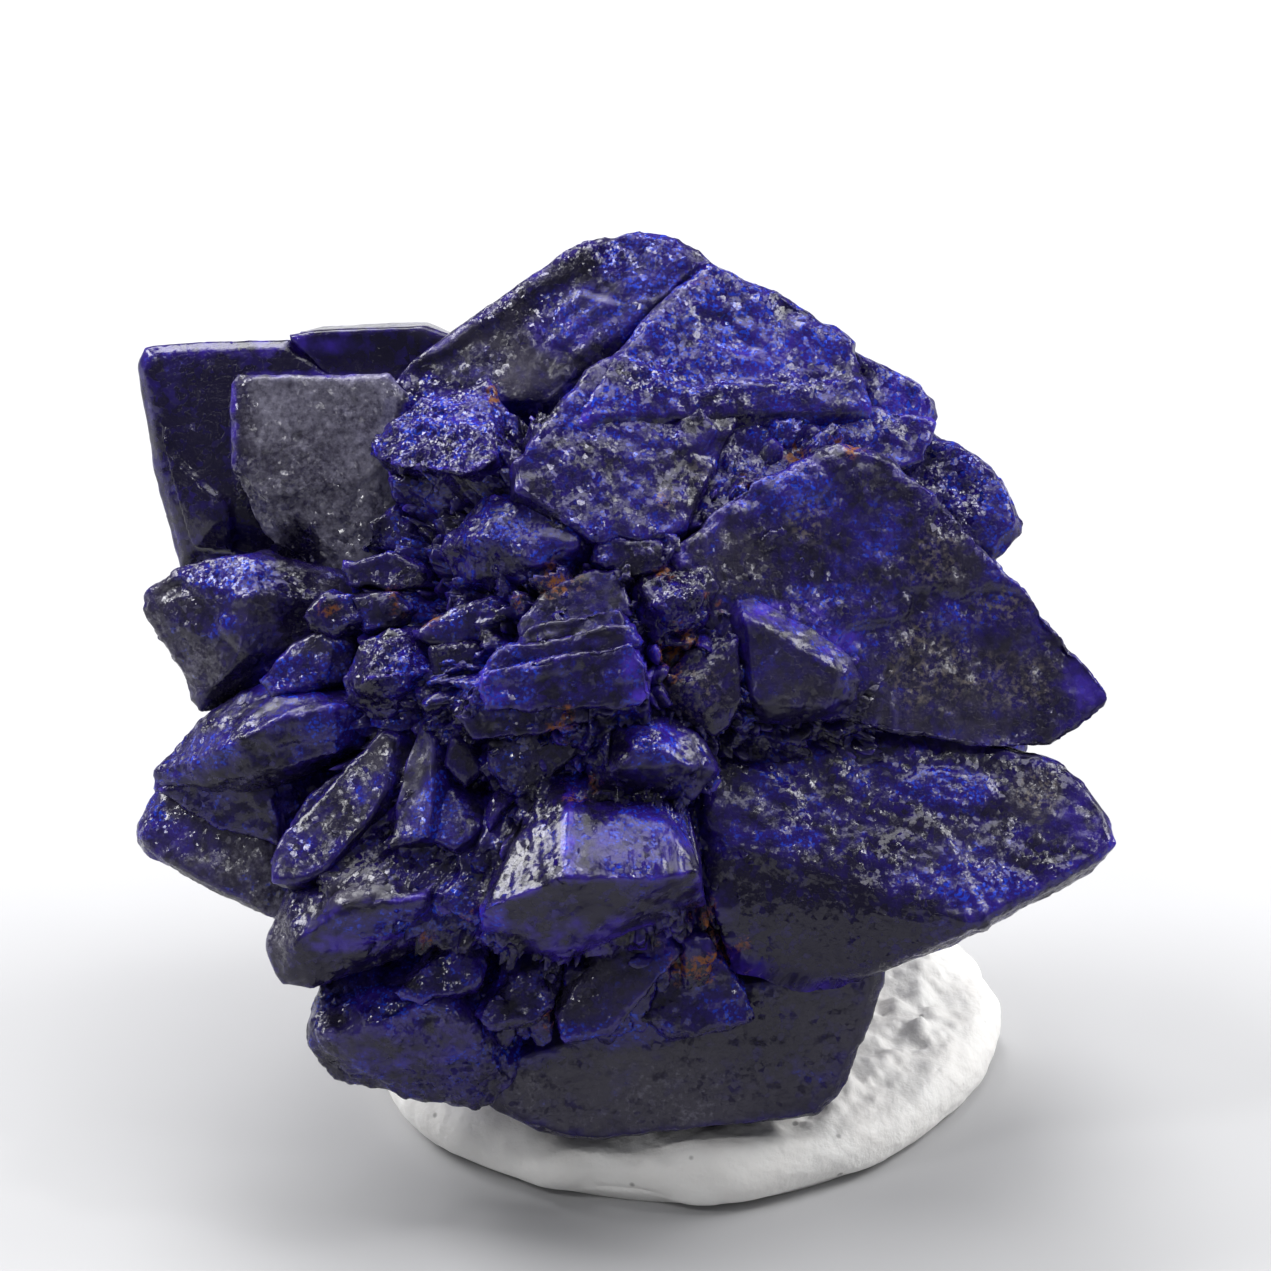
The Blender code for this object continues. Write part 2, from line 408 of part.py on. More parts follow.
def build_cluster(offset):
    """The whole rosette as one solid: the core joined with every plate, spoke and stub."""
    cluster = core_object("azurite_cluster", offset)
    crystals = helper_collection("crystals")
    for name, points in crystal_points():
        hull_object(name, points, offset, crystals)
    join_all(cluster, crystals, "UNION")
    keep_outside(cluster)
    cluster.data.materials.append(finish("azurite", (0.02, 0.012, 0.16), 0.45))
    return cluster


def wavy(waves, turn):
    """One plus the sum of some sine waves round the pad."""
    return 1 + sum(share * sin(count * turn + phase) for count, share, phase in waves)


def build_pad(offset):
    """The putty pad: a hand-pressed disc with a soft rim and a flat underside."""
    middle = Vector((PAD_MIDDLE[0] + offset.x, PAD_MIDDLE[1] + offset.y, 0))
    turns = [2 * pi * side / PAD_SIDES for side in range(PAD_SIDES)]
    shape = bmesh.new()
    loops = []
    for radius_share, height_share in PAD_RINGS:
        loop = []
        for turn in turns:
            reach = PAD_RADIUS * radius_share * wavy(PAD_SWAY, turn)
            height = PAD_HEIGHT * height_share * wavy(PAD_SWELL, turn)
            place = middle + Vector((reach * cos(turn), reach * sin(turn), height))
            loop.append(shape.verts.new(place * MM))
        loops.append(loop)
    for lower, upper in zip(loops, loops[1:]):
        for side in range(PAD_SIDES):
            after = (side + 1) % PAD_SIDES
            shape.faces.new((lower[side], lower[after], upper[after], upper[side]))
    shape.faces.new(reversed(loops[0]))
    shape.faces.new(loops[-1])
    pad = visible_object("putty_pad", shape)
    pad.data.materials.append(finish("white_putty", (0.83, 0.81, 0.76), 0.6))
    return pad


def dent_pad(pad, offset):
    """Cuts the crystals that reach down to the pad out of it, grown by the clearance."""
    seats = helper_collection("seats")
    pad_top = PAD_HEIGHT * wavy(PAD_SWELL, pi / 2) * max(height for radius, height in PAD_RINGS)
    steps = [Vector(step) * PAD_GAP for step in product((-1, 1), repeat=3)]
    for name, points in crystal_points():
        if min(point.z for point in points) + offset.z < pad_top + PAD_GAP:
            hull_object("seat_" + name, [point + step for point in points for step in steps], offset, seats)
    join_all(pad, seats, "DIFFERENCE")


def main():
    for item in list(bpy.data.objects):
        bpy.data.objects.remove(item)
    spread = [point for name, points in crystal_points() for point in points]
    middle_x = (min(point.x for point in spread) + max(point.x for point in spread)) / 2
    middle_y = (min(point.y for point in spread) + max(point.y for point in spread)) / 2
    offset = Vector((-middle_x, -middle_y, HEART_HEIGHT))
    build_cluster(offset)
    dent_pad(build_pad(offset), offset)


main()
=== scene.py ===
"""Azurite specimen: the looks of a rosette of azurite crystals in a pad of white putty.

The file is laid out as a Blender add-on and is run as a script. Every crystal is a surface worked out
with numpy round the corners of its solid in the frame, some of them moved by up to half a millimetre.
Places on the rosette are (right, up, forward) in millimetres from its heart, on a show plane that leans
back from upright. The meshes and the world are in metres, +Z up.
"""

from collections import namedtuple
from math import asin, atan2, cos, degrees, pi, radians, sin
from random import Random

import bmesh
import bpy
import numpy as np
from bpy.props import FloatProperty, FloatVectorProperty, PointerProperty
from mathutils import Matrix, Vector


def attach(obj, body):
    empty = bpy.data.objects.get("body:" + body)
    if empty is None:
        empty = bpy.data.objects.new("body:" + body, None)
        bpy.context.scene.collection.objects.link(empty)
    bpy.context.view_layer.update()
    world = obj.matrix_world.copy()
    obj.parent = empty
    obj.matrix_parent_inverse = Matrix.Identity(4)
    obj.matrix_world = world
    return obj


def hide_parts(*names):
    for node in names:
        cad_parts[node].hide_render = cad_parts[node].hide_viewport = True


bl_info = {
    "name": "Azurite specimen",
    "version": (1, 0, 0),
    "blender": (4, 5, 0),
    "location": "View3D > Sidebar > Azurite",
    "description": "Builds an azurite rosette in its putty pad, piece by piece",
    "category": "Add Mesh",
}

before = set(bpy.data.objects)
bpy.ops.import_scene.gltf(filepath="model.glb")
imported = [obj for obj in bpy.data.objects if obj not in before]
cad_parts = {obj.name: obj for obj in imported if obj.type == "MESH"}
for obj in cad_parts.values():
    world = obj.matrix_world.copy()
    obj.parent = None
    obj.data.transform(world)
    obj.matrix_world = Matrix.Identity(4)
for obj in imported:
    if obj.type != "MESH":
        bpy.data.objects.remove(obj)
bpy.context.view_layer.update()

MM = 0.001  # metres in a millimetre
CLUSTER = "azurite_cluster"
PAD = "putty_pad"

# The rosette's shape, in millimetres and degrees
SHOW_LEAN = 30.0  # how far the show plane leans back from upright
HEART_HEIGHT = 9.1  # heart of the rosette above the table
CORE_RADIUS = 4.1  # the intergrown middle, which shows only in the clefts
CORE_LUMPS = 0.35  # how far the middle's lumps rise and fall
ROOT_SHARE = 0.22  # a crystal's root, as a share of its way out from the heart
BACK_SHARE = 0.93  # a plate's rear outline against its front one
BEVEL_DROP = 0.8  # how far a plate's outline lies behind its face, in bevel widths
PAD_MIDDLE = (0.86, -0.87)  # the pad's middle, to the right of the heart and behind it
PAD_RADIUS = 6.3
PAD_HEIGHT = 1.5  # at its rim: the middle is squeezed up round the crystals
# Rings from the underside's edge up and over to the top's middle: shares of the radius and of the height
PAD_RINGS = ((0.93, 0.0), (0.985, 0.18), (1.0, 0.42), (0.985, 0.68), (0.93, 0.9), (0.82, 1.0), (0.6, 1.12),
             (0.35, 1.3))
PAD_RING_STEPS = 14  # rings of the mesh from one of those to the next
# Hand-pressed unevenness round the pad, as (waves, share, phase) of its radius and of its height
PAD_SWAY = ((2, 0.018, 0.6), (5, 0.012, 1.9))
PAD_SWELL = ((1, 0.10, 0.35), (4, 0.04, 0.0))
# Its dents and its torn lumps, as (share, size in millimetres, seed) of the noises that they are made of
PAD_DENTS = ((0.9, 1.7, 41), (0.35, 0.7, 42), (0.1, 0.25, 43))
PAD_TEARS = ((1.0, 0.85, 45), (0.8, 0.42, 46), (0.35, 0.18, 47))
DENT_LEVEL = 0.35  # how far the dents go in where the noise is even
TEAR_STRENGTH = 1.1  # the lumps' height against the dents'
TORN_FROM = 0.93  # the lumps lie inside this share of the radius
TORN_RAMP = 0.15  # and rise over this share of it
TORN_TOWARDS = -0.2  # the side where the putty was torn most, in radians round the pad from its right
TORN_SWAY = (0.55, 0.45)  # the lumps' height round the pad, as a share: its middle and its swing
PAD_STILL = 0.3  # the dents fade out below this height, so that the pad lies flat, in millimetres
# The finish reads these: thin points get a painted edge glow, hollow ones painted shade, and the grey is
# partly a painted sheen.
MASKS = "finish_masks"  # how thin, rusty, grey and hollow each point is, as one colour
TONES = "finish_tones"  # how blue, glinting, dusty and glossy each point is, as one colour

# The frame that the camera fills: its side and the heart's place in pixels, and its scale
FRAME_SIDE = 1271
HEART_PIXEL = (640, 640)
PIXELS_PER_MM = 50

# A plate: corners (right, up) of its broad face, how far forward the face is at the corners' middle,
# how much further forward it comes for each millimetre right and up, its thickness, the width of its
# edge bevels, and peaks (right, up, forward) that stand out from the face.
Plate = namedtuple("Plate", "name corners forward slope thickness bevel peaks", defaults=((),))

UPPER_PLATES = [
    Plate("summit_ridge", [(-5.0, 4.5), (-5.05, 5.2), (-3.7, 6.2), (-1.2, 7.85), (-0.1, 8.25), (0.7, 8.1),
                           (1.45, 7.6), (0.6, 6.9), (-1.9, 4.6)], 1.9, (0.22, -0.3), 1.6, 0.25),
    Plate("crown_face", [(1.4, 7.55), (2.8, 7.0), (3.6, 6.45), (4.35, 6.0), (4.6, 4.5), (2.4, 4.4),
                         (-1.2, 4.3), (-1.0, 5.2), (0.6, 6.9)], 2.75, (-0.25, -0.45), 1.3, 0.2),
    Plate("crown_foot", [(-2.55, 3.6), (-1.0, 5.4), (0.5, 6.3), (1.9, 5.6), (2.1, 4.6), (0.9, 2.2),
                         (0.4, 1.9), (-1.0, 1.95), (-2.5, 3.0)], 4.12, (-0.25, -0.45), 1.5, 0.15),
    Plate("crown_under_layer", [(0.9, 2.2), (1.2, 4.4), (4.5, 4.75), (5.9, 4.4), (5.7, 3.6), (4.7, 3.5),
                                (2.2, 2.4)], 3.05, (-0.25, -0.42), 1.1, 0.12),
    Plate("crown_end", [(4.2, 5.95), (5.0, 5.5), (5.7, 5.2), (5.95, 4.9), (6.05, 4.5), (5.9, 4.1),
                        (4.9, 4.0), (4.3, 4.7)], 2.0, (-0.35, -0.3), 1.3, 0.3),
    Plate("shoulder_right", [(5.6, 4.35), (6.4, 3.95), (7.0, 3.55), (7.3, 3.3), (7.7, 2.4), (7.65, 2.2),
                             (7.1, 1.55), (6.2, 1.6), (5.0, 3.2)], 1.6, (-0.25, -0.25), 1.4, 0.25),
]

RIGHT_PLATES = [
    Plate("great_blade", [(0.5, 1.7), (2.0, 2.95), (3.6, 3.75), (4.2, 3.88), (4.9, 3.65), (6.0, 2.8),
                          (7.1, 1.6), (8.9, -0.3), (9.45, -0.95), (9.55, -1.2), (9.4, -1.45),
                          (8.3, -2.25), (7.0, -2.3), (4.6, -1.9), (1.8, -0.8)],
          3.35, (-0.33, -0.08), 1.5, 0.18),
    Plate("lower_blade", [(1.4, -2.3), (2.0, -1.9), (4.0, -1.6), (5.2, -1.65), (7.0, -2.3), (8.4, -2.35),
                          (9.0, -2.95), (9.4, -3.5), (9.55, -4.0), (9.4, -4.2), (6.6, -5.7), (5.3, -4.85),
                          (3.0, -4.2), (1.5, -4.0), (1.1, -3.3)], 3.65, (-0.2, -0.42), 1.5, 0.15,
          [(1.4, -5.3, 4.5), (1.8, -6.6, 3.8), (2.8, -7.1, 3.5), (3.9, -6.95, 3.4), (5.0, -6.45, 3.4)]),
]

LEFT_PLATES = [
    Plate("back_left_blade", [(-10.1, 5.5), (-9.95, 5.85), (-9.0, 5.95), (-7.0, 6.0), (-5.8, 5.2),
                              (-5.8, 1.6), (-9.2, 1.3), (-9.75, 3.3)], 0.35, (0.12, 0.06), 1.3, 0.28,
          [(-8.4, 2.4, 0.75)]),
    Plate("back_left_second", [(-7.05, 6.05), (-6.5, 6.18), (-4.3, 6.27), (-3.6, 6.0), (-3.6, 5.0),
                               (-6.0, 4.9), (-6.4, 5.4)], 0.75, (0.1, 0.12), 1.2, 0.12),
    Plate("grey_tablet", [(-8.15, 5.1), (-8.0, 5.3), (-5.0, 5.3), (-4.9, 4.2), (-5.2, 3.0), (-7.7, 2.85),
                          (-8.15, 3.5)], 2.0, (0.02, -0.02), 1.5, 0.15,
          [(-7.6, 2.1, 1.5), (-6.5, 1.5, 1.7), (-6.1, 1.05, 1.7), (-5.4, 1.3, 2.1), (-5.2, 2.4, 2.2)]),
    Plate("bright_wedge", [(-5.45, 3.8), (-5.0, 4.3), (-4.4, 4.85), (-3.0, 5.2), (-2.6, 4.5), (-2.65, 4.0),
                           (-3.5, 3.1), (-4.4, 2.95)], 3.1, (0.1, -0.12), 1.0, 0.12,
          [(-4.85, 3.45, 3.85), (-3.5, 3.3, 4.65), (-2.85, 3.6, 4.6)]),
    Plate("wedge_heel", [(-3.5, 3.6), (-2.6, 3.7), (-2.6, 3.1), (-3.1, 2.8), (-3.75, 2.5), (-3.95, 3.0)],
          3.6, (0.1, -0.1), 1.0, 0.1),
    Plate("wedge_toe", [(-5.0, 3.3), (-3.6, 3.1), (-3.9, 2.1), (-4.3, 2.0), (-4.95, 2.8)],
          2.9, (0.1, 0.2), 1.0, 0.1),
    Plate("left_block", [(-9.3, 1.4), (-9.9, 0.9), (-10.0, 0.6), (-9.85, 0.3), (-9.4, -0.5), (-8.8, -1.5),
                         (-7.6, -0.9), (-7.0, 0.2), (-7.25, 1.45), (-7.6, 1.7), (-8.5, 1.6)],
          2.4, (0.25, 0.1), 1.8, 0.2, [(-7.7, 0.9, 3.2), (-8.0, -0.3, 3.1)]),
    Plate("left_nose", [(-9.8, -2.7), (-8.8, -1.5), (-7.4, -0.7), (-6.2, -0.9), (-5.4, -1.9), (-5.6, -2.3),
                        (-7.2, -2.95), (-8.0, -3.1), (-9.7, -3.0)], 2.9, (0.3, -0.1), 1.6, 0.15,
          [(-8.15, -2.1, 3.75), (-7.0, -1.45, 4.2), (-6.1, -1.35, 4.3), (-6.0, -2.3, 4.1),
           (-7.6, -2.7, 3.7)]),
    Plate("left_shelf", [(-9.7, -2.9), (-10.05, -3.4), (-10.2, -3.85), (-10.15, -4.05), (-9.9, -4.3),
                         (-8.5, -5.05), (-7.4, -5.55), (-7.0, -4.6), (-7.2, -3.4)],
          2.0, (0.32, -0.05), 1.3, 0.35),
    Plate("left_shelf_roof", [(-9.6, -2.95), (-8.5, -2.7), (-7.4, -2.9), (-7.1, -3.6), (-7.1, -4.1),
                              (-8.4, -3.75), (-9.3, -3.2)], 2.6, (0.25, 0.35), 1.0, 0.08),
]

LOWER_PLATES = [
    Plate("foot_block", [(-3.0, -9.4), (-3.2, -8.5), (-1.5, -7.9), (0.5, -7.5), (2.2, -6.7), (4.95, -6.4),
                         (4.85, -7.0), (4.4, -8.3), (4.05, -9.1), (3.55, -9.55), (1.5, -9.78),
                         (-1.0, -10.05), (-2.0, -9.9)], 2.5, (-0.06, 0.38), 2.2, 0.25),
    Plate("lower_left_log", [(-6.35, -6.6), (-6.6, -7.3), (-6.65, -8.0), (-6.4, -8.5), (-5.9, -8.9),
                             (-3.2, -9.35), (-2.6, -8.9), (-3.0, -7.4), (-3.5, -6.8), (-4.8, -6.5)],
          3.1, (0.15, 0.1), 2.0, 0.2, [(-6.2, -7.9, 3.7), (-4.2, -7.2, 4.5), (-3.4, -7.6, 4.5)]),
    Plate("left_knuckle", [(-7.0, -4.9), (-7.4, -5.8), (-7.45, -6.2), (-7.1, -6.85), (-6.5, -6.9),
                           (-4.2, -6.1), (-3.5, -5.4), (-3.5, -4.3), (-5.3, -4.1), (-6.2, -4.6)],
          4.1, (0.1, -0.02), 1.6, 0.2, [(-6.75, -5.95, 4.9), (-5.8, -5.2, 5.4), (-4.3, -5.1, 5.5)]),
    Plate("prow", [(-1.9, -2.9), (-1.4, -3.0), (0.3, -3.2), (0.9, -3.5), (1.25, -4.3), (1.3, -5.25),
                   (0.0, -5.5), (-1.6, -6.4), (-3.1, -6.05), (-3.3, -5.3)], 5.1, (0.0, 0.06), 1.4, 0.1,
          [(-1.42, -3.3, 5.9), (-1.47, -4.68, 7.0), (0.3, -4.72, 6.8), (1.15, -4.6, 6.5),
           (-3.1, -5.32, 6.2), (0.5, -3.6, 6.0)]),
    Plate("heel_left", [(-3.3, -7.4), (-2.5, -6.6), (-2.0, -6.45), (-1.75, -6.6), (-1.7, -7.3), (-2.1, -7.6),
                        (-3.0, -7.7)], 4.6, (0.05, -0.05), 1.2, 0.12),
    Plate("heel_far_left", [(-4.9, -7.0), (-4.2, -6.3), (-3.4, -5.9), (-3.1, -6.5), (-3.3, -6.9),
                            (-4.3, -7.25)], 4.55, (0.1, -0.1), 1.2, 0.12),
    Plate("heel_middle", [(-1.7, -7.4), (-0.9, -6.3), (-0.3, -5.6), (0.5, -5.6), (0.9, -6.2), (0.2, -6.9),
                          (-0.6, -7.75), (-1.5, -7.95)], 4.4, (0.0, -0.05), 1.2, 0.12),
    Plate("heel_right", [(0.0, -7.6), (0.3, -6.7), (1.0, -6.0), (1.7, -6.3), (2.1, -7.0), (2.3, -7.6),
                         (0.6, -7.95)], 3.9, (0.0, 0.1), 1.2, 0.12),
]

MIDDLE_PLATES = [
    Plate("block_front", [(-3.2, -1.0), (-3.15, -0.65), (-1.3, -0.4), (-0.15, -0.05), (0.1, -0.5),
                          (0.22, -1.1), (0.0, -1.38), (-0.9, -1.4), (-3.0, -1.35)],
          6.1, (0.05, 0.12), 1.2, 0.06),
    Plate("block_second_step", [(-2.95, -0.4), (-2.6, -0.1), (-0.5, 0.28), (-0.15, 0.3), (0.05, -0.1),
                                (-1.3, -0.6), (-3.1, -0.75)], 5.95, (0.05, 0.0), 1.2, 0.05),
    Plate("block_third_step", [(-2.4, 0.1), (-2.1, 0.3), (-0.45, 0.62), (-0.2, 0.45), (-0.2, 0.1),
                               (-2.5, -0.2)], 5.75, (0.05, -0.1), 1.1, 0.05),
    Plate("block_top", [(-2.5, 0.3), (-2.0, 0.9), (-1.3, 1.3), (-0.9, 1.48), (-0.4, 1.4), (-0.15, 0.5),
                        (-2.4, 0.0)], 5.2, (0.05, -0.3), 1.2, 0.08),
    Plate("block_foot", [(-3.7, -1.5), (-3.35, -0.85), (-2.9, -1.1), (-0.95, -1.3), (-0.9, -1.6),
                         (-1.9, -1.85), (-3.3, -1.98)], 5.6, (0.05, 0.05), 1.2, 0.08),
    Plate("block_knee", [(-3.0, -2.0), (-2.0, -1.7), (-1.2, -1.5), (-1.05, -1.8), (-1.2, -2.3),
                         (-1.9, -2.9), (-2.6, -3.1), (-3.0, -2.6)], 5.1, (0.0, 0.05), 1.2, 0.15),
    Plate("dome", [(-1.1, -2.6), (-1.0, -2.1), (-0.6, -1.6), (-0.2, -1.45), (0.5, -1.5), (0.9, -1.7),
                   (1.35, -2.1), (1.6, -2.6), (1.0, -3.2), (0.3, -3.15), (-0.9, -3.0)],
          5.3, (0.0, 0.0), 1.2, 0.15, [(0.1, -1.95, 6.15), (-0.4, -2.5, 6.1), (0.9, -2.45, 5.95)]),
    Plate("amber_stud", [(0.25, -1.1), (0.35, -0.8), (0.9, -0.2), (1.5, 0.0), (1.95, 0.05), (2.0, -0.5),
                         (2.0, -1.2), (1.75, -1.7), (1.4, -1.9), (0.9, -1.6)],
          5.1, (0.0, -0.05), 1.2, 0.12, [(1.1, -0.9, 5.5)]),
    Plate("spark_stud", [(-0.2, 0.9), (-0.1, 1.3), (0.4, 1.5), (1.3, 1.45), (1.55, 1.0), (1.4, 0.6),
                         (1.3, 0.3), (0.8, 0.0), (0.3, -0.3), (0.05, 0.1), (-0.15, 0.5)],
          5.0, (0.0, -0.05), 1.2, 0.12, [(0.9, 0.75, 5.6), (0.3, 0.7, 5.5)]),
    Plate("collar_stud", [(-0.95, 1.6), (-0.9, 2.05), (0.5, 2.05), (0.5, 1.4), (-0.1, 1.25), (-0.4, 1.4)],
          5.0, (0.0, -0.1), 1.0, 0.1),
    Plate("right_lid", [(1.6, 0.5), (1.9, 0.95), (2.3, 0.8), (3.0, 0.4), (3.7, 0.05), (4.2, -0.4),
                        (4.4, -0.75), (4.3, -1.2), (3.9, -1.5), (3.0, -1.72), (2.3, -1.65), (2.05, -1.2)],
          4.4, (-0.1, 0.05), 1.2, 0.1, [(2.1, 0.46, 5.1), (3.95, -0.62, 4.75), (2.3, -1.3, 5.0),
                                        (3.7, -1.3, 4.7)]),
    Plate("foot_lump", [(-4.05, 1.7), (-3.9, 2.1), (-3.0, 2.9), (-1.8, 3.1), (-0.9, 2.1), (-1.0, 1.6),
                        (-1.8, 1.2), (-2.5, 0.9), (-3.6, 1.05)], 4.3, (0.2, -0.05), 1.3, 0.15,
          [(-3.1, 2.05, 4.9), (-2.1, 1.45, 5.1), (-1.2, 1.9, 5.0)]),
    Plate("left_sill", [(-5.9, 1.5), (-5.0, 1.78), (-4.3, 1.45), (-4.2, 1.1), (-5.0, 0.98), (-5.8, 1.08)],
          3.6, (0.1, -0.1), 1.2, 0.1),
    Plate("left_sliver", [(-5.6, 1.75), (-5.3, 2.4), (-4.9, 2.75), (-4.5, 2.3), (-4.6, 1.7)],
          3.2, (0.2, 0.0), 1.2, 0.1),
    Plate("rust_stub", [(-6.6, 0.5), (-6.3, 0.95), (-5.7, 0.9), (-5.5, 0.4), (-6.1, 0.1), (-6.5, 0.2)],
          3.8, (0.1, 0.0), 1.2, 0.12),
    Plate("rust_bridge", [(-5.8, 0.85), (-4.9, 1.0), (-4.5, 0.6), (-5.0, 0.2), (-5.6, 0.1)],
          3.9, (0.1, 0.0), 1.2, 0.12),
    Plate("nose_crest", [(-7.6, -0.8), (-6.9, 0.0), (-6.2, 0.3), (-5.9, 0.0), (-6.2, -0.9), (-7.3, -1.2)],
          3.6, (0.2, -0.1), 1.2, 0.15),
    Plate("blue_knob", [(-4.5, 0.1), (-3.8, 0.6), (-2.9, 0.88), (-2.55, 0.75), (-2.5, 0.5), (-3.1, 0.0),
                        (-4.2, -0.1)], 4.4, (0.1, 0.0), 1.2, 0.12),
    Plate("glint_knob", [(-5.9, -0.75), (-5.5, -0.1), (-5.0, 0.3), (-4.6, 0.2), (-4.35, -0.3),
                         (-4.35, -0.8), (-4.6, -1.3), (-5.0, -1.7), (-5.5, -1.5), (-5.9, -1.2)],
          4.2, (0.1, 0.0), 1.2, 0.1, [(-5.5, -0.75, 4.8), (-4.6, -0.7, 4.95)]),
    Plate("inner_knob", [(-4.2, -0.1), (-3.3, 0.0), (-3.05, -0.3), (-3.3, -1.0), (-3.9, -1.05),
                         (-4.2, -0.6)], 4.5, (0.1, 0.0), 1.2, 0.12),
]

# The book is a stack of thin plates seen on edge, from its outer leaf inwards.
BOOK_PLATES = [
    Plate("book_long_leaf", [(-7.32, -4.78), (-7.34, -4.3), (-7.08, -3.82), (-6.1, -3.0), (-5.42, -2.3),
                             (-5.16, -1.83), (-4.94, -1.74), (-4.82, -1.92), (-4.96, -2.9), (-5.38, -3.62),
                             (-6.1, -4.2), (-6.24, -4.54), (-6.83, -4.81)], 4.45, (0.42, -0.38), 1.0, 0.1),
    Plate("book_leaf_1", [(-7.35, -4.4), (-7.1, -4.8), (-6.3, -4.75), (-5.85, -4.3), (-6.0, -3.9),
                          (-6.6, -3.6), (-7.0, -3.75)], 4.1, (0.15, 0.0), 1.2, 0.08),
    Plate("book_leaf_2", [(-7.0, -3.7), (-6.4, -4.0), (-5.4, -3.2), (-5.45, -2.7), (-5.9, -2.6),
                          (-6.6, -3.1)], 3.9, (0.2, 0.0), 1.2, 0.08),
    Plate("book_leaf_3", [(-6.05, -3.95), (-5.7, -4.05), (-5.0, -3.5), (-4.95, -3.1), (-5.3, -3.0),
                          (-5.8, -3.4)], 4.1, (0.2, 0.0), 1.2, 0.06),
    Plate("book_leaf_4", [(-5.65, -2.8), (-5.3, -3.1), (-5.0, -2.9), (-4.85, -2.1), (-5.05, -1.8),
                          (-5.3, -2.1)], 4.2, (0.15, 0.1), 1.2, 0.06),
    Plate("book_leaf_5", [(-5.0, -4.1), (-4.85, -3.2), (-4.6, -2.2), (-4.35, -1.6), (-4.05, -1.9),
                          (-4.1, -3.0), (-4.2, -3.9)], 4.85, (0.55, -0.35), 1.3, 0.08),
    Plate("book_leaf_6", [(-4.2, -3.9), (-4.05, -2.7), (-3.65, -2.9), (-3.35, -3.9), (-3.7, -4.15)],
          5.0, (0.35, -0.5), 1.3, 0.1),
    Plate("book_leaf_7", [(-3.85, -2.5), (-3.75, -1.95), (-3.4, -2.0), (-3.1, -2.6), (-3.45, -2.95)],
          4.9, (-0.1, 0.0), 1.2, 0.08),
]

# A spoke is a blade that grew straight out from the heart: its bearing round the show plane from
# right, how far it points away from the show side, its roll about its own length, then its reach,
# width and thickness. The spokes fill the sides, back and underside.
Spoke = namedtuple("Spoke", "name around away roll reach width thickness")

SPOKES = [
    Spoke("back_rim_1", 12, 24, 20, 7.6, 5.0, 1.5),
    Spoke("back_rim_2", 47, 26, 250, 7.2, 4.6, 1.6),
    Spoke("back_rim_3", 78, 24, 25, 7.3, 5.4, 1.7),
    Spoke("back_rim_4", 112, 27, 240, 7.2, 4.8, 1.5),
    Spoke("back_rim_5", 146, 24, 15, 8.9, 5.6, 1.6),
    Spoke("back_rim_6", 171, 22, 255, 8.8, 4.6, 1.5),
    Spoke("back_rim_7", 204, 25, 30, 8.7, 5.2, 1.6),
    Spoke("back_rim_8", 236, 22, 65, 8.4, 4.4, 1.7),
    Spoke("back_rim_9", 268, 20, 190, 7.5, 5.0, 1.8),
    Spoke("back_rim_10", 301, 24, 55, 7.7, 4.6, 1.6),
    Spoke("back_rim_11", 337, 22, 260, 8.6, 5.0, 1.6),
    Spoke("back_ring_1", 30, 52, 40, 7.9, 5.6, 1.6),
    Spoke("back_ring_2", 82, 54, 275, 8.0, 5.0, 1.5),
    Spoke("back_ring_3", 128, 50, 35, 8.2, 5.8, 1.7),
    Spoke("back_ring_4", 178, 55, 280, 8.0, 5.0, 1.5),
    Spoke("back_ring_5", 226, 50, 30, 7.8, 5.2, 1.6),
    Spoke("back_ring_6", 272, 50, 265, 7.3, 4.8, 1.6),
    Spoke("back_ring_7", 322, 54, 25, 7.8, 5.4, 1.6),
    Spoke("back_cap_1", 60, 78, 60, 7.6, 5.2, 1.6),
    Spoke("back_cap_2", 200, 76, 200, 7.7, 5.6, 1.7),
    Spoke("back_cap_3", 318, 80, 110, 7.3, 4.6, 1.5),
    Spoke("under_left", 244, 2, 260, 8.3, 3.6, 1.5),
    Spoke("under_right", 296, 2, 15, 8.6, 4.2, 1.6),
]

# The blade's outline, from one side of the root round the tip: shares of its reach and of its width
SPOKE_OUTLINE = ((0.2, -0.26), (0.76, -0.5), (0.93, -0.36), (1.0, 0.02), (0.97, 0.12), (0.66, 0.5),
                 (0.2, 0.26))
SPOKE_FACE = 0.9  # a blade's broad faces, as a share of its outline
SPOKE_EDGE = 0.5  # thickness left at a blade's edges, as a share of its full thickness
SPOKE_MIDDLE = 0.62  # where a blade's surface is worked out from, as a share of its reach
SPOKE_FINE = 0.6  # how far down from its tip a blade's mesh stays fine, as a share of its reach

# Stubs that crowd the clefts: how many, the seed of their draw, and the least and greatest of their
# reach and width in millimetres, of their turns in degrees, and of their thickness as a share of the width
SCATTER_COUNT = 56
SCATTER_SEED = 11
SCATTER_REACH = (4.3, 5.3)
SCATTER_WIDTH = (0.7, 1.5)
SCATTER_AROUND = (-14, 14)
SCATTER_AWAY = (-6, 6)
SCATTER_FLATNESS = (0.5, 0.8)
GOLDEN_ANGLE = 137.5  # from one stub to the next, in degrees, so that they spread evenly
HALF_TURN = (0, 180)  # how far a stub or splinter is rolled about its own length, in degrees

# The clefts of the show side: half the angle that their grid of rays spans, rays along its side, and how
# many of those a cleft's half-width may be
CLEFT_ANGLE = 61.0
CLEFT_SIDE = 180
CLEFT_SPAN = 9
CLEFT_INNER = (1.0, 0.12)  # splinters may stand inside this share of the grid, fading over this share
CLEFT_FILLED = (0.88, 0.1)  # the middle is raised inside this share, fading over this share

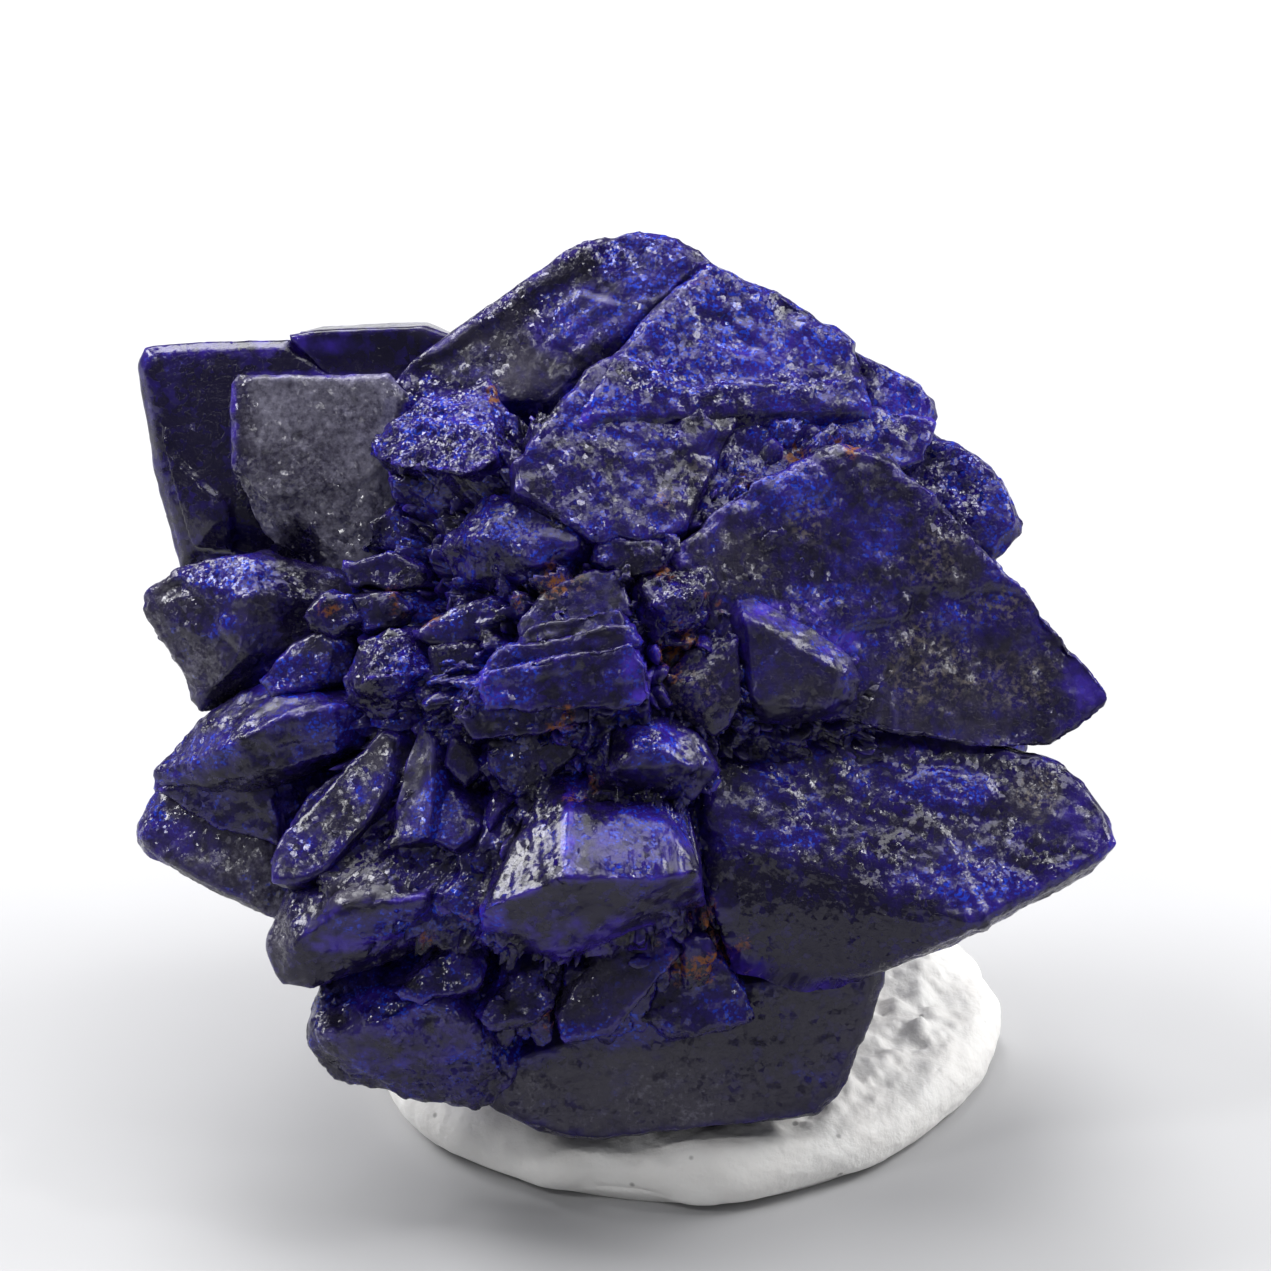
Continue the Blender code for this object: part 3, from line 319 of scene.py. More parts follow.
# What fills the clefts, in millimetres: how far below the brim the blocks lie at the middle of their
# range, how far they range, their least depth, and the blocks' and chips' size with their seeds
CLEFT_DEPTH = 0.43
CLEFT_BLOCKS = 0.55
CLEFT_BRIM = 0.06
CLEFT_BLOCK_SIZE = 0.62
CLEFT_BLOCK_SEED = 711
CLEFT_CHIP_SIZE = 0.3
CLEFT_CHIP_SEED = 712
CLEFT_CHIP_SHARE = 0.45  # the chips' height against the blocks'

# The lumps of the intergrown middle: waves along each axis and their phases, in radians
CORE_WAVES = (5.1, 4.3, 4.7)
CORE_PHASES = (1.3, 0.4, 2.1)
CORE_ROWS = 12  # rows of its mesh from the back to the show side
CORE_SEED = 700

# Splinters that stand in those clefts: how many, the seed of their draw, how deep a cleft has to be, how
# far below the brim they end, their width, all in millimetres, and their thickness as a share of the width
SPLINTER_COUNT = 90
SPLINTER_SEED = 23
SPLINTER_ROOM = 0.25
SPLINTER_DROP = (0.05, 0.40)
SPLINTER_WIDTH = (0.35, 0.85)
SPLINTER_FLATNESS = (0.45, 0.8)
SPLINTER_STEP = 0.085
SPLINTER_FINE = 1.1  # how far down from its tip a splinter's mesh stays fine

# Teeth that hang over the foot block's upper edge: their places to the right, the edge that they follow as
# (right, up), how far below it they end, their half-width, how far their tips lean to the right, and how
# far forward they stand, all in millimetres
TEETH_RIGHT = (-3.0, -2.62, -2.3, -1.95, -1.62, -1.3, -0.95, -0.62, -0.3, 0.05, 0.4, 0.75, 1.1)
TEETH_EDGE = ((-3.2, -8.3), (-1.5, -7.8), (0.5, -7.45), (2.2, -6.7), (3.0, -6.6))
TEETH_DROP = (0.0, 0.42)
TEETH_HALF = (0.17, 0.30)
TEETH_LEAN = (-0.12, 0.12)
TEETH_FORWARD = 3.75
TEETH_STAGGER = (-0.15, 0.2)
TEETH_ROOT = 1.2  # how far above the edge they begin
TEETH_SLOPE = (0.0, 0.55)
TEETH_THICKNESS = 1.0
TEETH_BEVEL = 0.09
# The tooth's tip, as (half-widths to the right of its middle, millimetres above its lowest point)
TOOTH_TIP = ((1.0, 0.22), (0.3, 0.0), (-0.5, 0.05), (-1.0, 0.3))
TEETH_SEED = 31


def teeth_plates():
    """Narrow plates that taper downwards, by a seeded draw."""
    draw = Random(TEETH_SEED)
    edge = np.array(TEETH_EDGE)
    plates = []
    for number, right in enumerate(TEETH_RIGHT):
        top = np.interp(right, edge[:, 0], edge[:, 1])
        low = top - draw.uniform(*TEETH_DROP)
        half = draw.uniform(*TEETH_HALF)
        lean = draw.uniform(*TEETH_LEAN)
        root = top + TEETH_ROOT
        corners = [(right - half, root), (right + half, root)]
        corners += [(right + half * share + lean, low + rise) for share, rise in TOOTH_TIP]
        forward = TEETH_FORWARD + draw.uniform(*TEETH_STAGGER)
        plates.append(Plate(f"tooth_{number + 1}", corners, forward, TEETH_SLOPE, TEETH_THICKNESS,
                            TEETH_BEVEL))
    return plates


SHOW_GROUPS = {
    "crown_crystals": UPPER_PLATES,
    "right_blades": RIGHT_PLATES,
    "left_crystals": LEFT_PLATES,
    "lower_crystals": LOWER_PLATES,
    "middle_crystals": MIDDLE_PLATES,
    "book_crystals": BOOK_PLATES,
    "foot_teeth": teeth_plates(),
}

# A skin is how one kind of crystal face is finished: the size of the sub-crystals that it is made of
# and how deep they stand, the depth of broad lumps, of growth ledges and of grooves, which way the
# grooves run on the face (degrees round from its right), how grey it looks (dulled, and partly a painted
# sheen), how blue, how smooth and glossy, and how much it sparkles (0 to 1, and the grey up to 1.5).
Skin = namedtuple("Skin", "grain depth lumps ledges grooves groove_turn grey blue gloss sparkle")

SKINS = {
    "matt": Skin(0.30, 0.010, 0.030, 0.002, 0.000, 0, 1.40, 0.0, 0.45, 0.26),
    "slate": Skin(0.30, 0.012, 0.070, 0.018, 0.012, 40, 0.35, 0.35, 0.58, 0.24),
    "silvery": Skin(0.30, 0.012, 0.060, 0.010, 0.012, 30, 1.05, 0.25, 0.70, 0.20),
    "pitted": Skin(0.26, 0.010, 0.030, 0.004, 0.004, 0, 0.45, 0.1, 0.60, 0.08),
    "smooth": Skin(0.30, 0.016, 0.070, 0.012, 0.012, 20, 0.05, 0.45, 0.48, 0.18),
    "lid": Skin(0.30, 0.016, 0.060, 0.010, 0.010, 160, 0.20, 0.4, 0.35, 0.18),
    "silk": Skin(0.30, 0.005, 0.040, 0.000, 0.034, 98, 0.15, 0.45, 0.60, 0.13),
    "leaf": Skin(0.30, 0.010, 0.050, 0.000, 0.014, 60, 0.05, 0.45, 0.48, 0.14),
    "rounded": Skin(0.32, 0.012, 0.080, 0.010, 0.020, 100, 0.05, 0.4, 0.55, 0.16),
    "satin": Skin(0.32, 0.018, 0.080, 0.016, 0.012, 10, 0.15, 0.5, 0.45, 0.18),
    "leathery": Skin(0.32, 0.018, 0.080, 0.022, 0.020, 82, 0.25, 0.4, 0.60, 0.22),
    "worn": Skin(0.30, 0.018, 0.070, 0.018, 0.012, 25, 0.50, 0.45, 0.70, 0.30),
    "ledged": Skin(0.30, 0.014, 0.040, 0.010, 0.010, 160, 0.05, 0.42, 0.58, 0.18),
    "striped": Skin(0.30, 0.028, 0.090, 0.036, 0.012, 8, 0.10, 0.40, 0.45, 0.14),
    "sugar": Skin(0.34, 0.015, 0.090, 0.010, 0.000, 0, 0.00, 0.72, 0.64, 0.26),
    "bright": Skin(0.42, 0.028, 0.100, 0.020, 0.012, 30, 0.05, 0.6, 0.80, 0.40),
    "coarse": Skin(0.32, 0.026, 0.110, 0.026, 0.012, 10, 0.25, 0.6, 0.70, 0.28),
    "splinter": Skin(0.30, 0.010, 0.030, 0.010, 0.006, 30, 0.30, 0.45, 0.70, 0.22),
    "dark": Skin(0.30, 0.004, 0.022, 0.002, 0.004, 75, 0.00, 0.30, 0.95, 0.00),
}

SKIN_OF = {
    "matt": ("grey_tablet",),
    "slate": ("summit_ridge", "amber_stud"),
    "silvery": ("left_shelf",),
    "pitted": ("foot_block",),
    "smooth": ("left_nose", "left_shelf_roof", "block_top"),
    "lid": ("right_lid",),
    "silk": ("prow",),
    "leaf": ("book_long_leaf", "book_leaf_1", "book_leaf_2", "book_leaf_3", "book_leaf_4", "book_leaf_5",
             "book_leaf_6", "book_leaf_7"),
    "rounded": ("left_knuckle",),
    "satin": ("dome",),
    "leathery": ("great_blade",),
    "worn": ("left_block", "nose_crest", "inner_knob", "block_knee", "heel_middle"),
    "ledged": ("lower_blade",),
    "striped": ("block_front", "block_second_step", "block_third_step", "block_foot"),
    "sugar": ("crown_face", "crown_foot", "crown_under_layer", "crown_end", "shoulder_right", "foot_lump"),
    "bright": ("bright_wedge", "wedge_heel", "wedge_toe", "spark_stud", "glint_knob"),
    "dark": ("back_left_blade", "back_left_second"),
}
PLAIN_SKIN = "coarse"  # the skin of every crystal that isn't named above

# Rust in the clefts: (right, up), how far it spreads in millimetres, and how strong it is
RUST_SPOTS = (
    ((1.3, -6.1), 1.05, 1.0), ((-1.85, -7.5), 0.35, 0.7), ((-3.4, -5.3), 0.35, 0.6),
    ((-4.2, -5.9), 0.35, 0.6), ((-4.9, 0.7), 0.45, 0.8), ((-4.1, 0.55), 0.45, 0.8),
    ((-1.5, 1.15), 0.6, 0.9), ((-2.4, 0.8), 0.35, 0.7), ((-1.5, -1.65), 0.45, 0.8), ((0.85, 0.0), 0.4, 1.0),
    ((1.4, 0.7), 0.32, 0.9), ((0.45, 1.25), 0.3, 0.7), ((0.55, -0.2), 0.4, 0.8), ((0.7, -0.8), 0.35, 0.7),
    ((2.0, 3.0), 0.5, 0.8), ((3.1, 3.65), 0.4, 0.8), ((4.0, 3.8), 0.5, 0.8), ((-6.2, 0.45), 0.4, 0.7),
    ((-7.8, 1.9), 0.4, 0.6), ((1.1, 7.2), 0.3, 0.6), ((-2.8, 4.9), 0.35, 0.6), ((0.55, 2.7), 0.3, 0.5),
    ((-1.2, -3.0), 0.5, 0.7),
)

# Colour zones on the show side, by what is there: (right, up), reach right and up in millimetres, and how
# strong it is. Blue is clear bright crystal, and on the prow's ridge a painted highlight; violet is painted
# light on thin, lit edges; grey is dulled crystal and partly a painted sheen; dark is deep crystal and partly
# painted shade, on a face that looks down, under the summit's edge and in a pit; glint is broken and bright;
# and dust is a pale brown film.
ZONES = {
    "blue": (
        ((-1.1, 6.4), (1.0, 0.6), 1.0), ((0.1, 7.5), (0.8, 0.6), 1.0), ((1.6, 6.9), (0.8, 0.7), 0.9),
        ((2.9, 5.9), (0.7, 0.5), 0.7), ((-0.9, 4.5), (0.7, 0.5), 0.9), ((5.3, 4.9), (0.7, 0.5), 0.6),
        ((3.0, 2.9), (0.9, 0.5), 0.9), ((4.8, 2.2), (0.6, 0.6), 0.5), ((3.7, 0.9), (0.7, 0.2), 0.7),
        ((3.6, 4.1), (1.3, 0.3), 0.6), ((6.1, -2.9), (1.0, 0.35), 0.6), ((6.8, -4.8), (0.8, 0.35), 0.9),
        ((3.0, -3.9), (0.6, 0.15), 0.8), ((-4.2, 4.5), (0.6, 0.4), 1.0), ((-3.0, 4.6), (0.5, 0.4), 1.0),
        ((-8.2, 1.3), (1.0, 0.4), 0.8), ((-8.5, -2.2), (0.5, 0.3), 0.8), ((-6.0, -1.7), (0.5, 0.4), 0.8),
        ((-6.9, -0.7), (0.7, 0.4), 0.8), ((-9.9, -3.4), (0.4, 0.5), 0.6), ((-4.0, -3.3), (0.5, 0.6), 0.8),
        ((-1.3, -3.5), (0.2, 0.8), 1.0), ((0.1, -3.7), (1.0, 0.4), 0.7), ((-2.7, -0.8), (0.6, 0.6), 0.8),
        ((-0.1, -0.4), (0.2, 0.9), 0.8), ((0.2, -2.0), (0.5, 0.3), 0.8), ((-5.0, -7.2), (1.2, 0.3), 0.7),
        ((-1.0, -7.9), (1.5, 0.3), 0.6), ((-1.4, -4.0), (0.12, 0.8), 1.0), ((-2.9, -5.6), (0.3, 0.4), 0.9),
        ((2.25, 0.72), (0.35, 0.2), 0.8), ((3.0, 0.35), (0.4, 0.2), 0.8), ((3.8, -0.15), (0.4, 0.3), 0.8),
        ((-2.3, -8.3), (0.8, 0.25), 0.8), ((-4.6, -5.6), (1.3, 0.35), 0.9), ((-8.8, 0.5), (0.6, 0.5), 0.5),
        ((1.2, 5.9), (1.2, 0.7), 0.8),
    ),
    "violet": (
        ((-9.2, -4.1), (0.9, 0.5), 0.6), ((0.1, -3.9), (1.1, 0.5), 0.6), ((-0.6, -5.9), (1.9, 0.45), 0.65),
        ((-4.6, -7.8), (1.5, 0.8), 0.5), ((-10.0, 4.0), (0.25, 1.9), 1.0), ((-8.0, 5.9), (2.4, 0.25), 1.0),
        ((-8.1, 4.3), (0.09, 1.0), 0.8), ((-6.6, 5.3), (1.4, 0.08), 0.8), ((-1.42, -3.8), (0.14, 0.9), 1.0),
        ((-3.0, -5.7), (0.3, 0.5), 0.9), ((3.9, 0.0), (0.5, 0.25), 0.9), ((0.0, -0.5), (0.35, 0.8), 1.0),
        ((-2.9, -0.9), (0.4, 0.35), 0.9), ((-5.5, -6.0), (1.3, 0.2), 0.8), ((8.9, -0.8), (0.5, 0.7), 0.7),
        ((5.5, 4.8), (0.7, 0.5), 0.7), ((-1.6, 6.2), (0.7, 0.5), 0.6), ((-3.6, 4.6), (0.7, 0.4), 0.6),
        ((0.6, -1.9), (0.4, 0.3), 0.6), ((-7.0, -0.9), (0.8, 0.2), 0.6), ((2.6, 5.6), (1.0, 0.5), 0.5),
        ((8.8, -3.6), (0.5, 0.6), 0.5), ((2.7, 0.5), (0.9, 0.25), 0.9),
    ),
    "grey": (
        ((-3.2, 6.2), (1.3, 0.6), 0.9), ((-2.4, 5.4), (0.8, 0.6), 0.8), ((0.0, 2.9), (2.3, 0.7), 0.35),
        ((1.8, 1.4), (0.9, 0.7), 0.8), ((6.5, -0.9), (2.2, 1.0), 0.6), ((7.9, -3.1), (0.6, 0.5), 0.9),
        ((-9.2, 0.1), (0.7, 1.2), 0.8), ((-9.1, 2.2), (0.7, 0.8), 1.3), ((3.3, -0.9), (0.7, 0.6), 0.5),
        ((-0.5, -8.9), (2.5, 0.8), 0.7), ((-2.4, -4.3), (0.5, 0.8), 0.5), ((-5.2, -2.2), (0.25, 0.4), 0.8),
        ((-4.5, -2.6), (0.25, 0.7), 0.8), ((-3.9, -5.9), (0.6, 0.3), 0.7), ((-5.6, -4.9), (0.7, 0.5), 1.2),
        ((-7.1, -5.7), (0.25, 0.6), 1.2), ((-6.0, -7.8), (0.4, 0.9), 0.8),
    ),
    "dark": (
        ((-8.9, 4.5), (1.0, 1.6), 1.0), ((-6.4, 5.7), (2.8, 0.35), 0.9), ((3.6, -5.6), (1.9, 1.0), 1.0),
        ((-6.8, 1.2), (0.4, 1.0), 1.0), ((-0.9, 5.7), (0.6, 0.5), 0.5), ((-2.1, 4.7), (0.5, 0.3), 0.9),
        ((-0.4, -2.25), (0.25, 0.25), 1.0),
    ),
    "glint": (
        ((0.3, 5.2), (0.6, 0.3), 1.0), ((1.4, 4.8), (0.7, 0.3), 1.0), ((3.1, 5.1), (0.7, 0.2), 0.8),
        ((-0.8, 7.7), (0.6, 0.3), 0.9), ((-2.9, 6.6), (1.1, 0.3), 0.9), ((-4.5, 5.1), (0.6, 0.3), 1.0),
        ((-4.2, 3.8), (0.9, 0.8), 1.0), ((-3.1, 4.1), (0.5, 0.3), 1.0), ((-3.5, 4.9), (0.5, 0.2), 0.8),
        ((6.2, 3.0), (0.6, 0.9), 0.9), ((0.8, 0.7), (0.5, 0.5), 1.0), ((-5.0, -0.4), (0.6, 0.4), 1.0),
        ((-6.2, 2.5), (1.2, 0.7), 1.0), ((-7.8, 3.2), (0.3, 0.6), 0.8), ((0.15, -2.0), (0.28, 0.22), 1.0),
        ((-7.0, -5.7), (0.25, 0.6), 0.6), ((-9.3, -3.9), (0.8, 0.5), 0.5), ((-6.1, -7.3), (0.3, 0.6), 0.6),
        ((-8.9, 0.4), (0.6, 0.6), 0.35),
    ),
    "dust": (
        ((3.3, 2.4), (0.4, 0.4), 0.9), ((5.8, 1.6), (0.5, 0.6), 0.7), ((5.8, -0.5), (0.8, 0.9), 0.7),
        ((7.2, 0.7), (0.5, 0.4), 0.8), ((7.4, -0.8), (0.9, 0.5), 0.6), ((0.5, 2.8), (0.2, 0.2), 0.8),
        ((1.2, 3.4), (0.25, 0.2), 0.5), ((7.9, -3.0), (0.4, 0.4), 0.8), ((1.0, -1.0), (0.6, 0.5), 0.6),
        ((-1.6, 1.1), (0.7, 0.3), 0.5),
    ),
}

# Growth steps on the broad faces, by plate: the corners (right, up) of the patch that stands out, and how
# far it does, in millimetres (below zero sinks)
PATCHES = {
    "great_blade": (
        (((3.9, 0.0), (4.1, 0.17), (4.5, 0.38), (5.0, 0.36), (5.33, 0.45), (5.42, 0.75), (5.2, 1.02),
          (5.9, 1.05), (6.45, 0.8), (6.9, 1.1), (7.7, 0.9), (9.9, -1.2), (8.3, -2.7), (3.8, -2.6)), -0.11),
        (((5.7, 0.12), (6.2, 0.22), (6.9, 0.3), (7.2, -0.1), (8.3, 0.1), (9.9, -1.2), (8.0, -2.7),
          (5.2, -2.2), (5.0, -0.8), (5.4, -0.2)), -0.05),
        (((2.0, 3.2), (2.9, 2.5), (3.3, 2.9), (3.5, 2.75), (3.9, 3.3), (4.5, 2.6), (5.2, 3.2), (4.4, 4.2),
          (2.4, 3.8)), 0.06),
    ),
    "lower_blade": (
        (((5.2, -2.92), (5.5, -2.6), (5.95, -2.58), (6.9, -2.75), (7.05, -3.0), (6.9, -3.45), (6.3, -3.38),
          (5.8, -3.2)), 0.08),
        (((1.2, -3.0), (1.6, -2.3), (2.3, -2.5), (2.9, -2.9), (3.3, -3.3), (3.4, -3.85), (2.5, -4.0),
          (1.2, -3.8)), 0.07),
        (((5.6, -3.4), (6.0, -3.7), (6.3, -4.25), (7.0, -5.8), (4.5, -5.5), (4.6, -4.2)), 0.05),
    ),
    "crown_foot": (
        (((0.8, 4.4), (1.2, 4.55), (1.55, 4.1), (1.3, 3.75), (0.8, 3.7), (0.65, 4.0)), 0.12),
        (((0.7, 3.35), (0.97, 3.72), (1.9, 3.3), (1.7, 1.5), (-0.3, 1.6), (0.1, 2.6)), 0.06),
        (((-3.0, 2.4), (-2.6, 4.0), (-1.1, 3.1), (-0.6, 2.6), (-0.9, 1.7)), -0.06),
    ),
    "crown_face": (
        (((-0.5, 5.6), (0.4, 5.35), (1.1, 5.0), (2.4, 5.1), (3.3, 5.05), (4.9, 5.3), (4.9, 3.9),
          (-1.5, 4.0)), 0.1),
        (((1.1, 6.6), (1.7, 6.5), (2.1, 6.1), (2.4, 5.8), (1.9, 5.7), (1.2, 5.95)), -0.08),
    ),
    "summit_ridge": (
        (((-5.5, 5.1), (-3.9, 5.7), (-2.4, 6.7), (-0.9, 7.5), (-0.2, 8.6), (-5.6, 7.0)), 0.09),
        (((-1.7, 6.5), (-1.2, 6.9), (-0.5, 6.7), (0.6, 6.9), (-0.8, 5.4), (-1.8, 5.9)), 0.06),
    ),
    "grey_tablet": (
        (((-8.5, 3.35), (-7.9, 3.3), (-7.4, 2.75), (-5.7, 3.1), (-5.2, 3.35), (-4.6, 3.2), (-4.8, 0.6),
          (-8.6, 0.8)), -0.07),
        (((-6.95, 4.1), (-6.75, 4.15), (-6.7, 3.95), (-6.85, 3.9)), -0.1),
    ),
    "back_left_blade": (
        (((-9.75, 4.8), (-9.3, 3.7), (-8.8, 3.2), (-8.2, 2.7), (-8.0, 1.0), (-10.2, 1.0),
          (-10.4, 5.2)), 0.12),
    ),
    "left_block": (
        (((-8.45, 0.6), (-8.3, 0.1), (-7.9, -0.3), (-8.6, -1.0), (-9.2, -1.2), (-10.3, 0.6),
          (-9.2, 1.2)), -0.08),
    ),
    "left_nose": (
        (((-8.3, -2.3), (-7.9, -2.1), (-5.9, -2.0), (-5.2, -2.4), (-5.5, -3.4), (-8.2, -3.3)), -0.07),
    ),
}

# Mesh steps along the crystals, in millimetres
SHOW_STEP = 0.068
BACK_STEP = 0.145
SMALL_STEP = 0.1
COARSE_STEP = 0.4  # where a crystal goes down to its root, unseen
MOST_COARSE = 8  # rows of the mesh there, at most
FEWEST_ROWS = 3  # of its fine part, at least
FINE_MARGIN = 0.4  # how far round a plate's face the mesh stays fine
PAD_STEP = 0.075

MOST_GREY = 1.5  # the greyest that a skin can be
FLAT_ANGLE = 0.01  # faces that differ by less than this, in radians, count as one
LEVEL_RATE = 1e-9  # a ray that nears a face more slowly than this counts as level with it
GRAIN_TURN = 0.9  # how far grains turn away from each other
TOP_TILT = 1.6  # how far the flat tops of grains tilt
FACE_SHARPNESS = 120  # power of the blend between two faces: higher gives a sharper edge
EDGE_REACH = 26  # power of the blend that tells how near a point is to an edge
EDGE_GAIN = 3.2  # brings that number up to 1 on a square edge
GOLDEN_SHARE = 0.618  # steps of this give neighbouring faces unlike numbers
VISIBLE_SIDE = 1.5  # how far down a crystal's sides the mesh stays fine, in millimetres
PATCH_RAMP = 0.10  # width of the slope at a growth step, in millimetres
PATCH_WANDER = ((0.05, 0.3), (0.02, 0.12))  # how far its edge strays, and over what length
PATCH_FRONT = 0.3  # the steps are on the crystals' sides this far forward of the heart, and further
FRONT_RAMP = 1.5  # how far forward rust and colour zones take to reach their full strength
RUST_FRONT = 0.5  # how far forward of the heart the rust begins
ZONE_FRONT = -0.5  # and the colour zones
RUST_EDGE = 1.15  # where a rust spot ends, in spreads from its middle
RUST_PATCH = 0.35  # the size of the patches that it breaks up into, in millimetres
ZONE_EDGE = 1.35  # where a colour zone ends, in reaches from its middle
ZONE_STEEPNESS = 1.8  # how fast it comes up from there
SEED_STEP = 10  # from one crystal's seed to the next
BACK_SEED = 1000
STUB_SEED = 2000
SPLINTER_SKIN_SEED = 4000
RUST_SEED = 901
ZONE_SEED = 950

# The noises that a skin is made of: their sizes in millimetres
BROAD_SIZE = 1.7
MIDDLING_SIZE = 0.75
KNOB_SIZE = 0.36
CHIP_SIZE = 0.4
RAGGED_SIZE = 0.22
GROOVE_SIZE = 0.16
GROOVE_STRETCH = (0.12, 1.0, 0.4)  # of the place along a groove, across it and outwards
FINE_GRAIN = 0.45  # the small grains' size against the large ones'
GRAIN_LEVEL = 0.6  # the height of a grain that neither stands out nor lies low
LEDGE_LEVEL = 0.6
LEDGE_PITCH = 0.55  # from one growth ledge to the next, in millimetres
LEDGE_BEND = 0.35  # how far the broad noise bends the ledges
LEDGE_LEAN = 0.3  # how far they lean back on the crystal's sides
LEAST_CHIP = 0.03  # depth of the chips on the smoothest crystal's edges, in millimetres
LEAST_RAGGED = 0.01  # how far its edges wander, in millimetres
SHALLOW_GROOVE = 0.01  # grooves up to this depth, in millimetres, cast no shade

# The sizes of the noises that the greyness, the blue and the sparkle drift by, in millimetres
GREY_DRIFT = 1.3
BLUE_DRIFT = 0.9
SPARKLE_DRIFT = 0.8
# Painted shade: faces that look down are painted darker, from this slope on.
UNDER_SHADE_FROM = 0.25  # faces that look down by more than this, as the sine of the angle, are darker

# How much painted shade low grains get: on the smoothest skin, for each millimetre of depth, and at most
LEAST_GRAIN_SHADE = 0.15
GRAIN_SHADE = 22
MOST_GRAIN_SHADE = 0.6
# Painted shade: the lows between knobs are painted darker.
KNOB_SHADE = 0.35 / 0.06  # how dark the lows between knobs look, for each millimetre of the lumps


def lean_axes():
    """The world directions of the show plane's right, up and forward, as the rows of a matrix."""
    lean = radians(SHOW_LEAN)
    return np.array(((1, 0, 0), (0, sin(lean), cos(lean)), (0, -cos(lean), sin(lean))))


SHOW_AXES = lean_axes()


def plate_outline(plate):
    """The plate's corners on the plane of its face: forward = height + slope . (corner - middle)."""
    corners = np.array(plate.corners)
    rise = plate.forward + (corners - corners.mean(axis=0)) @ np.array(plate.slope)
    return np.column_stack((corners, rise))


def unit(*parts):
    """The direction with those parts, one long."""
    return np.array(parts) / np.linalg.norm(parts)


def plate_points(plate):
    """Every corner of a plate, from the heart: its bevelled face, outline, rear outline, peaks and root."""
    outline = plate_outline(plate)
    middle = outline.mean(axis=0)
    radius = np.linalg.norm(outline - middle, axis=1).mean()
    normal = unit(-plate.slope[0], -plate.slope[1], 1)
    face = middle + (outline - middle) * (1 - plate.bevel / radius)
    girdle = outline - normal * plate.bevel * BEVEL_DROP
    rear = middle + (outline - middle) * BACK_SHARE - normal * plate.thickness
    root = outline * ROOT_SHARE
    peaks = np.array(plate.peaks).reshape(-1, 3)
    return np.concatenate((face, girdle, rear, root, peaks)) @ SHOW_AXES


def spoke_axes(spoke):
    """The world directions of a spoke's length, width and thickness."""
    around, away, roll = radians(spoke.around), radians(spoke.away), radians(spoke.roll)
    out = Vector(np.array((cos(around) * cos(away), sin(around) * cos(away), -sin(away))) @ SHOW_AXES)
    side = out.orthogonal().normalized()
    flat = out.cross(side)
    turned = side * cos(roll) + flat * sin(roll)
    return np.array((out, turned, out.cross(turned)))


def spoke_points(spoke):
    """Every corner of a spoke, from the heart: a tabular blade with a slanting chisel tip."""
    out, side, flat = spoke_axes(spoke)
    outline = np.array(SPOKE_OUTLINE)
    middle = np.array((outline[:, 0].mean(), 0))
    face = middle + (outline - middle) * SPOKE_FACE
    size = np.array((spoke.reach, spoke.width))
    edge_places = (outline * size) @ np.array((out, side))
    face_places = (face * size) @ np.array((out, side))
    half = flat * spoke.thickness / 2
    return np.concatenate([edge_places + half * turn * SPOKE_EDGE for turn in (-1, 1)]
                          + [face_places + half * turn for turn in (-1, 1)])


def show_plates():
    """Every plate of every group."""
    return [plate for group in SHOW_GROUPS.values() for plate in group]


def heart_place():
    """The heart in the world: the middle of all the crystals' corners stands over the origin."""
    solids = [plate_points(plate) for plate in show_plates()] + [spoke_points(spoke) for spoke in SPOKES]
    corners = np.concatenate(solids)
    middle = (corners.min(axis=0) + corners.max(axis=0)) / 2
    return np.array((-middle[0], -middle[1], HEART_HEIGHT))


HEART = heart_place()


# Even random numbers and noise, as formulas on whole arrays

# Large odd numbers that scatter a cell's coordinates, its seed and what they are mixed into
CELL_FACTORS = (73856093, 19349663, 83492791)
SEED_FACTOR = 2654435761
MIX_FACTORS = (0x85EBCA6B, 0xC2B2AE35, 0x27D4EB2F)


def cell_random(cell, seed):
    """Three even random numbers from 0 to 1 for each whole-numbered cell: its coordinates times large
    odd numbers, mixed by shifts and products."""
    mixed = np.uint32(seed * SEED_FACTOR % 2**32)
    for axis, factor in enumerate(CELL_FACTORS):
        mixed = mixed ^ cell[..., axis].astype(np.int64).astype(np.uint32) * np.uint32(factor)
    numbers = []
    for factor in MIX_FACTORS:
        mixed = (mixed ^ (mixed >> np.uint32(15))) * np.uint32(factor)
        numbers.append((mixed >> np.uint32(8)).astype(np.float32) / np.float32(2**24))
    return np.stack(numbers, axis=-1)


def noise(at, size, seed):
    """Smooth noise from -1 to 1: random numbers at the corners of cubes of that size, blended by
    3t^2 - 2t^3 along each axis."""
    scaled = at / size
    cell = np.floor(scaled).astype(np.int64)
    part = (scaled - cell).astype(np.float32)
    blend = part * part * (3 - 2 * part)
    total = np.zeros(at.shape[:-1], np.float32)
    for corner in np.ndindex(2, 2, 2):
        step = np.array(corner)
        weight = np.where(step == 1, blend, 1 - blend).prod(axis=-1)
        total += weight * cell_random(cell + step, seed)[..., 0]
    return total * 2 - 1


